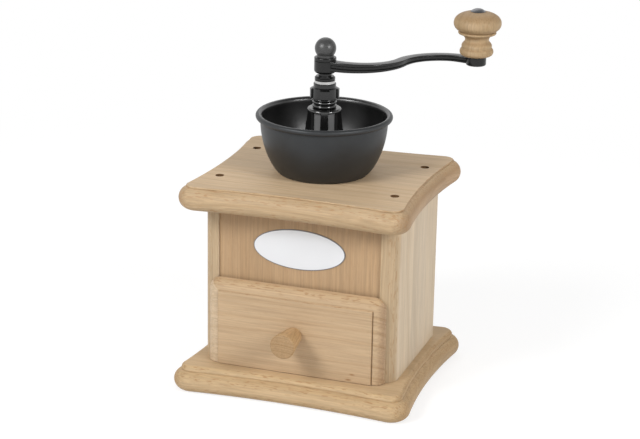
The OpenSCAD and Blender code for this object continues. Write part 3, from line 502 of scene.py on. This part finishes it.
# Drawer mouldings: the left one paler as painted light, the right one darker as painted shade; its stronger
# rings are grain
DRAWER_EDGE_LIT_SHADED_LOOKS = (
    wood("beech_drawer_edge_left_painted_light", "X", BEECH_LIT_PALE, *DRAWER_GRAIN, edge_flecks=0.1, gold=PLAIN, end=PLAIN),
    wood("beech_drawer_edge_right_painted_shade", "X", BEECH_DRAWER, *DRAWER_GRAIN, edge_flecks=0.1, rings=1.0,
         gold=DRAWER_SHADED_END, end=DRAWER_SHADED_END),
)
# Look of the screw holes' walls, darkened as painted shade
BORE_SHADE_LOOK = wood("beech_bore_painted_shade", "Z", BEECH_BORE_SHADE, 13.4, (0.02, 0.02))
SLOT_OF = {part["node"]: part["material_slot"] for part in RECORD["subparts"]}
BODY_OF = {node: body for body, nodes in RECORD["behaviour"]["bodies"].items() for node in nodes}
for node, slot in SLOT_OF.items():
    NODES[node].data.materials.clear()
    NODES[node].data.materials.append(NODE_LOOKS.get(node) or SLOT_LOOKS[slot])


# Mesh helpers for pieces that stand for CAD nodes with a finer surface

SHARP = math.radians(32)
EASE_OVER = math.radians(50)
SAME_PLACE = 1e-6


def mesh_piece(name, verts, faces, node=None):
    """Smooth-shaded mesh; with node, it is dressed to stand for that CAD node."""
    mesh = bpy.data.meshes.new(name)
    mesh.from_pydata(verts, [], faces)
    obj = bpy.data.objects.new(name, mesh)
    bpy.context.scene.collection.objects.link(obj)
    finish_mesh(mesh)
    if node:
        dress(obj, node)
    return obj


def finish_mesh(mesh):
    """Joins doubled points, turns faces outwards and marks the sharp edges."""
    work = bmesh.new()
    work.from_mesh(mesh)
    bmesh.ops.remove_doubles(work, verts=work.verts, dist=SAME_PLACE)
    bmesh.ops.recalc_face_normals(work, faces=work.faces)
    for edge in work.edges:
        edge.smooth = not (edge.is_manifold and edge.calc_face_angle(0) > SHARP)
    for face in work.faces:
        face.smooth = True
    work.to_mesh(mesh)
    work.free()


def dress(obj, node):
    """Gives a piece the material, slot and body of the CAD node that it stands for."""
    obj.data.materials.clear()
    obj.data.materials.append(NODES[node].data.materials[0])
    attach(obj, BODY_OF[node])
    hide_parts(node)


def combine(obj, other, kind):
    """Boolean of obj with other, kept in obj's mesh; other is removed."""
    modifier = obj.modifiers.new("combine", "BOOLEAN")
    modifier.operation = kind
    modifier.solver = "EXACT"
    modifier.object = other
    bpy.context.view_layer.update()
    made = bpy.data.meshes.new_from_object(obj.evaluated_get(bpy.context.evaluated_depsgraph_get()))
    obj.modifiers.remove(modifier)
    obj.data = made
    bpy.data.objects.remove(other)
    finish_mesh(obj.data)


def soften(node):
    """Eases the sharp edges of a kept CAD node by modifiers; its mesh stays."""
    obj = NODES[node]
    obj.modifiers.new("weld", "WELD").merge_threshold = SAME_PLACE
    bevel = obj.modifiers.new("ease", "BEVEL")
    bevel.width = EASE_W
    bevel.segments = 3
    bevel.limit_method = "ANGLE"
    bevel.angle_limit = EASE_OVER
    obj.modifiers.new("normals", "WEIGHTED_NORMAL").keep_sharp = True


def arc(centre, rx, ry, start, end, steps):
    """Points on an elliptic arc, angles in degrees."""
    turns = [math.radians(start + (end - start) * i / steps) for i in range(steps + 1)]
    return [(centre[0] + rx * math.cos(a), centre[1] + ry * math.sin(a)) for a in turns]


def bezier(p, steps, off=0.0):
    """Points on a cubic curve with four control points, moved aside to its left by off."""
    out = []
    for i in range(steps + 1):
        t = i / steps
        w = ((1 - t) ** 3, 3 * (1 - t) ** 2 * t, 3 * (1 - t) * t * t, t ** 3)
        v = ((1 - t) ** 2, 2 * (1 - t) * t, t * t)
        at = [sum(w[k] * p[k][a] for k in range(4)) for a in (0, 1)]
        go = [sum(v[k] * (p[k + 1][a] - p[k][a]) for k in range(3)) for a in (0, 1)]
        size = math.hypot(*go)
        out.append((at[0] - off * go[1] / size, at[1] + off * go[0] / size))
    return out


def loft(rings, closed=True):
    """Points and faces of a skin over rings of points; closed joins the last ring to the first."""
    n = len(rings[0])
    verts = [p for ring in rings for p in ring]
    faces = []
    for i in range(len(rings) if closed else len(rings) - 1):
        a, b = i * n, (i + 1) % len(rings) * n
        faces += [(a + j, a + (j + 1) % n, b + (j + 1) % n, b + j) for j in range(n)]
    return verts, faces


def lathe(name, loop, axis=(0, 0), node=None, steps=144):
    """Closed profile loop of (radius, height) turned round the upright axis."""
    rings = []
    for j in range(steps):
        c, s = math.cos(2 * math.pi * j / steps), math.sin(2 * math.pi * j / steps)
        rings.append([(axis[0] + r * c, axis[1] + r * s, z) for r, z in loop])
    return mesh_piece(name, *loft(rings), node)


def sector(r0, r1, middle, angle, z0, z1, steps=8):
    """Upright block between two radii, angle degrees wide round the direction middle."""
    corners = ((r0, z0), (r1, z0), (r1, z1), (r0, z1))
    rings = []
    for i in range(steps + 1):
        a = math.radians(middle + angle * (i / steps - 0.5))
        rings.append([(r * math.cos(a), r * math.sin(a), z) for r, z in corners])
    verts, faces = loft(rings, closed=False)
    last = 4 * steps
    return mesh_piece("cutter", verts, faces + [(0, 1, 2, 3), (last, last + 1, last + 2, last + 3)])


# Boards

def hollow(k):
    """Radius and half angle in degrees of the hollow between two corner centres 2k apart."""
    far = (k * k + SCALLOP * SCALLOP) / (2 * SCALLOP)
    return far - CORNER_R, math.degrees(math.asin(k / far))


def board_outline(w, d, e, corner_steps=20, side_steps=48):
    """Outline of a board, moved inwards by e: round corners joined by hollow sides."""
    kx, ky, r = w / 2 - CORNER_R, d / 2 - CORNER_R, CORNER_R - e
    (rx, ax), (ry, ay) = hollow(kx), hollow(ky)
    half = arc((kx, ky), r, r, -ay, 90 + ax, corner_steps)
    half += arc((0, d / 2 - SCALLOP + rx), rx + e, rx + e, 270 + ax, 270 - ax, side_steps)[1:-1]
    half += arc((-kx, ky), r, r, 90 - ax, 180 + ay, corner_steps)
    half += arc((SCALLOP - w / 2 - ry, 0), ry + e, ry + e, ay, -ay, side_steps)[1:-1]
    return half + [(-x, -y) for x, y in half]


def board(name, node, bead_r, cap_r):
    """Board with the moulded edge of the solids, swept finely round its outline."""
    lo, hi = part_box(node)
    w, d, t = hi - lo
    meet = math.degrees(math.acos((STEP_IN - bead_r) / bead_r))
    edge = arc((bead_r, bead_r), bead_r, bead_r, 270, meet, 24)
    edge.append((STEP_IN + STEP_QUIRK, edge[-1][1] + STEP_QUIRK / 2))
    edge += arc((STEP_IN + cap_r, t - cap_r), cap_r, cap_r, 180, 90, 10)
    rings = [[(x, y, lo.z + z) for x, y in board_outline(w, d, e)] for e, z in edge]
    verts, faces = loft(rings, closed=False)
    n = len(verts) // len(edge)
    faces += [tuple(reversed(range(n))), tuple(range(len(verts) - n, len(verts)))]
    return mesh_piece(name, verts, faces, node)


def make_boards():
    """Both boards, the top one with its throat and with screw holes whose walls are darkened as painted
    shade.
    """
    board("base_board", "base_plate", BASE_BEAD_R, BASE_CAP_R)
    top = board("top_board", "top_plate", TOP_BEAD_R, TOP_CAP_R)
    lo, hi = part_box("top_plate")
    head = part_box("top_screws")[1].z
    holes = [(0, 0, THROAT_R, lo.z - HOLE_PAST)]
    for sx in (-1, 1):
        holes += [(sx * CASE_SCREW_X, sy * CASE_SCREW_Y, SCREW_HOLE_R, head - HOLE_PAST) for sy in (-1, 1)]
    high = hi.z + HOLE_PAST
    for x, y, r, low in holes:
        work = bmesh.new()
        bmesh.ops.create_cone(work, cap_ends=True, segments=48, radius1=r, radius2=r, depth=high - low,
                              matrix=Matrix.Translation((x, y, (low + high) / 2)))
        mesh = bpy.data.meshes.new("hole")
        work.to_mesh(mesh)
        work.free()
        cutter = bpy.data.objects.new("hole", mesh)
        bpy.context.scene.collection.objects.link(cutter)
        combine(top, cutter, "DIFFERENCE")
    # The screw holes' walls take the dark look: painted shade inside the holes
    top.data.materials.append(BORE_SHADE_LOOK)
    for poly in top.data.polygons:
        off = min(math.hypot(poly.center.x - x, poly.center.y - y) for x, y, *_ in holes[1:])
        poly.material_index = 1 if off < SCREW_HOLE_R + PICK_SLACK and abs(poly.normal.z) < 0.5 else 0


# Drawer front and oval plate

def make_drawer_face():
    """Lapped drawer front: flat face, a quirk and a quarter-round on three edges.

    edge holds the profile as (inwards, back, depth of the quirk). The left moulding is paler as painted
    light and the right one darker as painted shade; both meet the top one in a mitre.
    """
    lo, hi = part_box("drawer_front")
    w, t, h = hi - lo
    depth = t - MOULD_STEP - FRONT_RIM
    edge = [(FRONT_RIM, t, 0)]
    meet = 270 - math.degrees(QUIRK_W / MOULD_W)
    moulding = arc((MOULD_W, t - FRONT_RIM), MOULD_W, depth, 180, meet, MOULD_STEPS)
    edge += [(x, y, 0) for x, y in moulding]
    edge += [(MOULD_W - QUIRK_W / 3, MOULD_STEP, QUIRK_DEPTH), (MOULD_W, MOULD_STEP, QUIRK_DEPTH)]
    edge += [(MOULD_W, FRONT_EASE, 0), (MOULD_W + FRONT_EASE, 0, 0)]

    def path(e):
        """Left edge, top and right edge of the front, moved inwards by e."""
        r, kx, kz = FRONT_CORNER_R - e, w / 2 - FRONT_CORNER_R, h - FRONT_CORNER_R
        side = FRONT_SIDE_STEPS
        points = [(-w / 2 + e, h * i / side - FRONT_CORNER_R * i / side) for i in range(side)]
        points += arc((-kx, kz), r, r, 180, 90, FRONT_CORNER_STEPS)
        points += arc((kx, kz), r, r, 90, 0, FRONT_CORNER_STEPS)
        return points + [(-x, z) for x, z in reversed(points[:side])]

    n, last = len(path(0)), len(edge) - 1
    share = [QUIRK_ELSEWHERE if j < n - QUIRK_POINTS else 1.0 for j in range(n)]
    rings = []
    for e, y, deep in edge:
        rings.append([(x, lo.y + y + deep * q, lo.z + z) for (x, z), q in zip(path(e), share)])
    verts = [p for ring in rings for p in ring]
    starts = [i * n + j for i in range(last) for j in range(n - 1)]
    faces = [(k, k + 1, k + n + 1, k + n) for k in starts]
    faces += [tuple(range(n)), tuple(last * n + j for j in reversed(range(n)))]
    faces.append(tuple(i * n for i in range(last + 1)) + tuple(i * n + n - 1 for i in range(last, -1, -1)))
    piece = mesh_piece("drawer_face", verts, faces, "drawer_front")
    # The left moulding takes the paler look as painted light, the right one the darker look as painted
    # shade
    for look in DRAWER_EDGE_LIT_SHADED_LOOKS:
        piece.data.materials.append(look)
    for poly in piece.data.polygons:
        if w / 2 - abs(poly.center.x) < min(MOULD_W, hi.z - poly.center.z):
            poly.material_index = 1 if poly.center.x < 0 else 2


def make_oval():
    """Bare white oval with a slight crown inside a thin dark rim."""
    lo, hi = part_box("oval_plate")
    a, b, t = (hi.x - lo.x) / 2, (hi.z - lo.z) / 2, hi.y - lo.y
    middle_z, steps = (hi.z + lo.z) / 2, PLATE_STEPS
    rise = [(0, 0)] + [(e, PLATE_RIM_H - down) for e, down in PLATE_EDGE]
    rise += [(PLATE_RIM_W, PLATE_RIM_H + PLATE_RIM_LIFT)]
    for u in [i / CROWN_STEPS for i in range(1, CROWN_STEPS)]:
        up = PLATE_RIM_H + (t - PLATE_RIM_H) * math.sqrt(1 - (1 - u) ** 2)
        rise.append((PLATE_RIM_W + (b - PLATE_RIM_W) * u * CROWN_REACH, up))
    turn = [2 * math.pi * j / steps for j in range(steps)]
    rings = []
    for e, up in rise:
        rings.append([((a - e) * math.cos(g), hi.y - up, middle_z + (b - e) * math.sin(g)) for g in turn])
    verts, faces = loft(rings, closed=False)
    faces += [tuple(range(steps)), tuple(reversed(range(len(verts) - steps, len(verts))))]
    plate = mesh_piece("oval_sign", verts, faces, "oval_plate")
    plate.data.materials.append(PLATE_RIM_LOOK)
    for poly in plate.data.polygons:
        x, z = poly.center.x, poly.center.z - middle_z
        inside = math.hypot(x / (a - PLATE_RIM_W), z / (b - PLATE_RIM_W)) < PLATE_INSIDE
        poly.material_index = 0 if inside and poly.center.y < hi.y - PICK_SLACK else 1


# Bowl and bell

def make_bowl():
    """Spun bowl with a rolled rim; its inner faces and its floor have a look of their own."""
    lo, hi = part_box("hopper_bowl")
    height = hi.z - lo.z - RIM_R
    rim_x = hi.x - RIM_R
    curve = [(BOWL_FLOOR_R, 0), (BOWL_FLOOR_R + FLOOR_REACH, 0), (WALL_X, height - WALL_REACH),
             (WALL_X, height - RIM_R)]
    loop = [(THROAT_R, 0)] + bezier(curve, BOWL_STEPS)
    loop += arc((rim_x, height), RIM_R, RIM_R, *RIM_ROLL, 32)
    inner, top = bezier(curve, BOWL_STEPS, BOWL_T), loop[-1]
    lip = [top, (top[0] - LIP_IN, top[1] - LIP_DOWN), (inner[-1][0], inner[-1][1] + LIP_REACH), inner[-1]]
    loop += bezier(lip, 8)[1:-1] + list(reversed(inner)) + [(THROAT_R, BOWL_T)]
    bowl = lathe("spun_bowl", [(r, lo.z + z) for r, z in loop], node="hopper_bowl", steps=192)
    bowl.data.materials.append(BOWL_INSIDE_LOOK)
    for poly in bowl.data.polygons:
        inward = poly.center.x * poly.normal.x + poly.center.y * poly.normal.y < 0
        floor = poly.normal.z > FLOOR_FACING and poly.center.z < lo.z + height / 2
        poly.material_index = 1 if inward or floor else 0


def make_bell():
    """Cast bell: legs on a foot ring round a core coloured light grey as painted light, a rounded shoulder
    and a neck with two beads.
    """
    lo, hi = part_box("bell")
    top = hi.z - lo.z - NECK_H
    foot_r = (hi.x - lo.x) / 2
    ease, rounding = FOOT_EASE, SHOULDER_ROUND
    leg = [(LEG_R, FOOT_T), (LEG_R - LEG_IN, FOOT_T + LEG_RISE),
           (SHOULDER_R + SHOULDER_FLARE, SHOULDER_FROM * top), (SHOULDER_R, top - rounding)]
    cavity = CAVITY_TOP * top
    inside = [p for p in bezier(leg, BELL_STEPS, LEG_T) if p[1] < cavity]
    loop = [(BUSH_R, cavity), (inside[-1][0], cavity)] + list(reversed(inside)) + [(inside[0][0], 0)]
    loop += [(foot_r - ease, 0), (foot_r, ease)]
    loop += [(foot_r, FOOT_T - FOOT_ROUND), (foot_r - FOOT_ROUND, FOOT_T)]
    loop += bezier(leg, BELL_STEPS)
    loop += arc((SHOULDER_R - rounding, top - rounding), rounding, rounding, 15, 90, 8)
    bead = NECK_H / 4
    for up in (bead, 3 * bead):
        loop += arc((NECK_R - bead, top + up), bead, bead, -72, 72, 10)
    loop += [(BUSH_R, top + NECK_H)]
    piece = lathe("cast_bell", [(r, lo.z + z) for r, z in loop], node="bell")
    pitch = 360 / BELL_LEGS
    for i in range(BELL_LEGS):
        gap = sector(BELL_CORE_R, LEG_R + BELL_GAP_PAST, BELL_ANGLE + pitch * (i + 0.5), BELL_GAP,
                     lo.z + FOOT_T + BELL_GAP_LOW, lo.z + top - BELL_GAP_HIGH)
        combine(piece, gap, "DIFFERENCE")
    # Core faces in the gaps take the light grey: painted light
    piece.data.materials.append(CORE_LIGHT_LOOK)
    for poly in piece.data.polygons:
        on_core = math.hypot(poly.center.x, poly.center.y) < BELL_CORE_R + PICK_SLACK
        poly.material_index = 1 if on_core and poly.center.z < lo.z + top - BELL_CORE_TOP else 0


# Crank and its knob

def arm_station(t):
    """Place and direction along the S of the arm for t from 0 at the hub to 1 at the knob."""
    span = CRANK_REACH / 2
    r = ((span / 2) ** 2 + CRANK_BOW ** 2) / (2 * CRANK_BOW)
    half = math.asin(span / 2 / r)
    if t < 0.5:
        a = math.radians(270) - half + 2 * half * 2 * t
        return (span / 2 + r * math.cos(a), r - CRANK_BOW + r * math.sin(a)), (-math.sin(a), math.cos(a))
    a = math.radians(90) + half - 2 * half * (2 * t - 1)
    return (1.5 * span + r * math.cos(a), CRANK_BOW - r + r * math.sin(a)), (math.sin(a), -math.cos(a))


def arm_section(x):
    """Half section of the arm at x along the crank, from top to bottom, as (aside, up)."""
    taper = min(1.0, x / (ARM_TAPER_TO * CRANK_REACH))
    top = (ARM_HUB_H + (ARM_END_H - ARM_HUB_H) * taper) / 2
    slope_end = CRANK_REACH - BOSS_SLOPE_END * BOSS_R
    sunk = min(1.0, max(0.0, (x - slope_end) / BOSS_SLOPE_L + 1))
    low = -top + (BOSS_LAP - BOSS_H / 2 + top) * sunk * sunk * (3 - 2 * sunk)
    w, r, g, slope, bend = ARM_W / 2, ARM_EDGE_R, GROOVE_H / 2, GROOVE_SLOPE, GROOVE_BEND
    points = [(0, top)] + arc((w - r, top - r), r, r, 90, 0, 5)
    points += [(w, g + slope), (w - 0.5 * GROOVE_D, g + bend), (w - GROOVE_D, g - slope)]
    points += [(w - GROOVE_D, slope - g), (w - 0.5 * GROOVE_D, -g - bend), (w, -g - slope)]
    return points + arc((w - r, low + r), r, r, 0, -90, 5) + [(0, low)]


def make_crank():
    """Cast S-shaped arm with grooved sides, its hub and its end boss."""
    lo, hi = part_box("crank_arm")
    hub_h = hi.z - lo.z
    z_arm = lo.z + ARM_UP * hub_h
    rings = []
    for i in range(ARM_STEPS + 1):
        (x, y), (dx, dy) = arm_station(ARM_FROM + (ARM_TO - ARM_FROM) * i / ARM_STEPS)
        half = arm_section(x)
        outline = half + [(-s, z) for s, z in reversed(half[1:-1])]
        rings.append([(x + s * dy, y - s * dx, z_arm + z) for s, z in outline])
    verts, faces = loft(rings, closed=False)
    n = len(rings[0])
    faces += [tuple(range(n)), tuple(reversed(range(len(verts) - n, len(verts))))]
    arm = mesh_piece("crank_casting", verts, faces)
    hub = [(HUB_BORE_R, 0)] + arc((HUB_R - HUB_FILLET, HUB_FILLET), HUB_FILLET, HUB_FILLET, -90, 0, 10)
    ring = hub_h - HUB_RING
    hub += [(HUB_R - deep, ring + up) for deep, up in HUB_GROOVE]
    hub += arc((HUB_R - HUB_TOP_R, hub_h - HUB_TOP_R), HUB_TOP_R, HUB_TOP_R, 0, 90, 5)
    hub.append((HUB_BORE_R, hub_h))
    combine(arm, lathe("hub", [(r, lo.z + z) for r, z in hub]), "UNION")
    boss = [(BOSS_BORE_R, 0)] + arc((BOSS_R - BOSS_LOW_R, BOSS_LOW_R), BOSS_LOW_R, BOSS_LOW_R, -90, 0, 6)
    boss += arc((BOSS_R - BOSS_TOP_R, BOSS_H - BOSS_TOP_R), BOSS_TOP_R, BOSS_TOP_R, 0, 90, 4)
    boss.append((BOSS_BORE_R, BOSS_H))
    boss = [(r, z_arm - BOSS_H / 2 + z) for r, z in boss]
    combine(arm, lathe("boss", boss, axis=(CRANK_REACH, 0)), "UNION")
    arm.data.transform(Matrix.Rotation(CRANK_ANGLE, 4, "Z"))
    dress(arm, "crank_arm")


def make_knob():
    """Turned knob: stepped foot, waist, thin collar, a groove and a broad crowned head."""
    lo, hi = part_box("crank_knob")
    height = hi.z - lo.z
    head_r = (hi.x - lo.x) / 2
    head_z = KNOB_HEAD_AT * height
    foot, edge = KNOB_FOOT_ROUND, KNOB_COLLAR_ROUND
    loop = [(KNOB_BORE_R, 0)] + arc((KNOB_FOOT_R - foot, foot), foot, foot, -90, 50, KNOB_STEPS)
    loop += bezier(KNOB_STEP, KNOB_STEPS) + bezier(KNOB_FLARE, KNOB_STEPS)[1:]
    loop += arc((KNOB_COLLAR_R - edge, KNOB_COLLAR_Z), edge, edge, -70, 80, 12)
    loop.append((KNOB_COLLAR_R - KNOB_GROOVE_D, KNOB_COLLAR_Z + edge))
    loop += arc((head_r - KNOB_HEAD_RX, head_z), KNOB_HEAD_RX, KNOB_HEAD_RZ, KNOB_HEAD_FROM, 0, KNOB_STEPS)
    crown_h = (height - head_z) / (1 - (KNOB_SEAT_R / head_r) ** KNOB_FULL) ** (1 / KNOB_FULL)
    for i in range(1, KNOB_CROWN_STEPS + 1):
        z = (height - head_z) * math.sin(math.radians(90 * i / KNOB_CROWN_STEPS))
        loop.append((head_r * (1 - (z / crown_h) ** KNOB_FULL) ** (1 / KNOB_FULL), head_z + z))
    loop += [(KNOB_BORE_R, height)]
    middle = (lo + hi) / 2
    lathe("turned_knob", [(r, lo.z + z) for r, z in loop], axis=(middle.x, middle.y), node="crank_knob")


make_boards()
make_drawer_face()
make_oval()
make_bowl()
make_bell()
make_crank()
make_knob()
for kept in EASED:
    soften(kept)


# Stage

FLOOR_HALF = 6.0
FLOOR_TONE = (0.8, 0.8, 0.8)
FLOOR_ROUGH = 0.9
NEAR_SHADE = 0.36
NEAR_GLOW = 0.72
SHADOW_REACH = (0.30, 0.75)
SKY_LIGHT = 0.36
CEILING = 0.12
CEILING_FROM = (0.42, 0.80)

# Softboxes: name, degrees right of the front and up, distance, size and power; they face the mill's middle
LIGHT_TARGET = Vector((0, 0, 0.12))
LIGHTS = (
    ("softbox_left", -30, 34, 1.6, 0.55, 15.5),
    ("softbox_right", 64, 27, 1.6, 0.42, 12.0),
    ("softbox_back", 205, 50, 1.8, 1.2, 5.0),
)


def seen_directly(tree):
    """1 for rays that show the stage: from the camera, in reflections and through glass."""
    path = tree.nodes.new("ShaderNodeLightPath").outputs
    shown = maths(tree, "MAXIMUM", path["Is Camera Ray"], path["Is Glossy Ray"])
    return maths(tree, "MAXIMUM", shown, path["Is Transmission Ray"])


def floor_material():
    """Pale floor, white where it is seen, that keeps the object's shadow near it."""
    mat, tree, bsdf = new_material("floor_white")
    seen = seen_directly(tree)
    place = add(tree, "TexCoord").outputs["Object"]
    distance = add(tree, "VectorMath", {0: place}, operation="LENGTH").outputs["Value"]
    far = spread_over(tree, distance, 0.0, 1.0, *SHADOW_REACH)
    shade = mix(tree, "MIX", far, (NEAR_SHADE,) * 3, (0, 0, 0))
    tree.links.new(mix(tree, "MIX", seen, FLOOR_TONE, shade), bsdf.inputs["Base Color"])
    glow = maths(tree, "MULTIPLY", seen, spread_over(tree, far, NEAR_GLOW, 1.0))
    tree.links.new(glow, bsdf.inputs["Emission Strength"])
    bsdf.inputs["Emission Color"].default_value = (1, 1, 1, 1)
    bsdf.inputs["Roughness"].default_value = FLOOR_ROUGH
    bsdf.inputs["Specular IOR Level"].default_value = 0.0
    return mat


def make_stage():
    """The floor, a plain square."""
    s = FLOOR_HALF
    mesh = bpy.data.meshes.new("floor")
    mesh.from_pydata([(-s, -s, 0), (s, -s, 0), (s, s, 0), (-s, s, 0)], [], [(0, 1, 2, 3)])
    mesh.materials.append(floor_material())
    floor = bpy.data.objects.new("floor", mesh)
    bpy.context.scene.collection.objects.link(floor)


def make_world():
    """White surroundings under a dark ceiling; as light they are weaker than as they are seen."""
    world = bpy.data.worlds.new("studio")
    bpy.context.scene.world = world
    world.use_nodes = True
    tree = world.node_tree
    tree.nodes.clear()
    back = tree.nodes.new("ShaderNodeBackground")
    back.inputs["Color"].default_value = (1, 1, 1, 1)
    way = add(tree, "SeparateXYZ", {"Vector": add(tree, "TexCoord").outputs["Generated"]}).outputs["Z"]
    white = spread_over(tree, way, 1.0, CEILING, *CEILING_FROM)
    shown = maths(tree, "MULTIPLY", seen_directly(tree), white)
    hidden = maths(tree, "MULTIPLY", maths(tree, "SUBTRACT", 1.0, seen_directly(tree)), SKY_LIGHT)
    tree.links.new(maths(tree, "ADD", shown, hidden), back.inputs["Strength"])
    out = tree.nodes.new("ShaderNodeOutputWorld")
    tree.links.new(back.outputs["Background"], out.inputs["Surface"])


def add_light(name, azimuth, elevation, distance, size, power):
    """Square softbox that faces the mill."""
    a, e = math.radians(azimuth), math.radians(elevation)
    away = Vector((math.sin(a) * math.cos(e), -math.cos(a) * math.cos(e), math.sin(e)))
    data = bpy.data.lights.new(name, "AREA")
    data.shape = "SQUARE"
    data.size = size
    data.energy = power
    light = bpy.data.objects.new(name, data)
    light.location = LIGHT_TARGET + distance * away
    light.rotation_euler = (-away).to_track_quat("-Z", "Y").to_euler()
    bpy.context.scene.collection.objects.link(light)


def make_camera():
    """Camera at the photograph's place, without shift."""
    az, el = CAM_AZIMUTH, CAM_ELEVATION
    back = Vector((math.sin(az) * math.cos(el), -math.cos(az) * math.cos(el), math.sin(el)))
    right = Vector((math.cos(az), math.sin(az), 0))
    up = back.cross(right)
    turned_right = math.cos(CAM_ROLL) * right + math.sin(CAM_ROLL) * up
    turned_up = math.cos(CAM_ROLL) * up - math.sin(CAM_ROLL) * right
    eye = right * CAM_ASIDE + Vector((0, 0, CAM_TARGET_Z)) + back * CAM_DISTANCE
    data = bpy.data.cameras.new("camera")
    data.sensor_width = SENSOR_W
    data.lens = FOCAL_PX * SENSOR_W / PHOTO_W
    data.clip_start, data.clip_end = CAM_CLIP
    cam = bpy.data.objects.new("camera", data)
    cam.matrix_world = Matrix((
        (turned_right.x, turned_up.x, back.x, eye.x), (turned_right.y, turned_up.y, back.y, eye.y),
        (turned_right.z, turned_up.z, back.z, eye.z), (0, 0, 0, 1)))
    bpy.context.scene.collection.objects.link(cam)
    bpy.context.scene.camera = cam


make_stage()
make_world()
make_camera()
for light in LIGHTS:
    add_light(*light)
bpy.context.scene.view_settings.view_transform = "Standard"
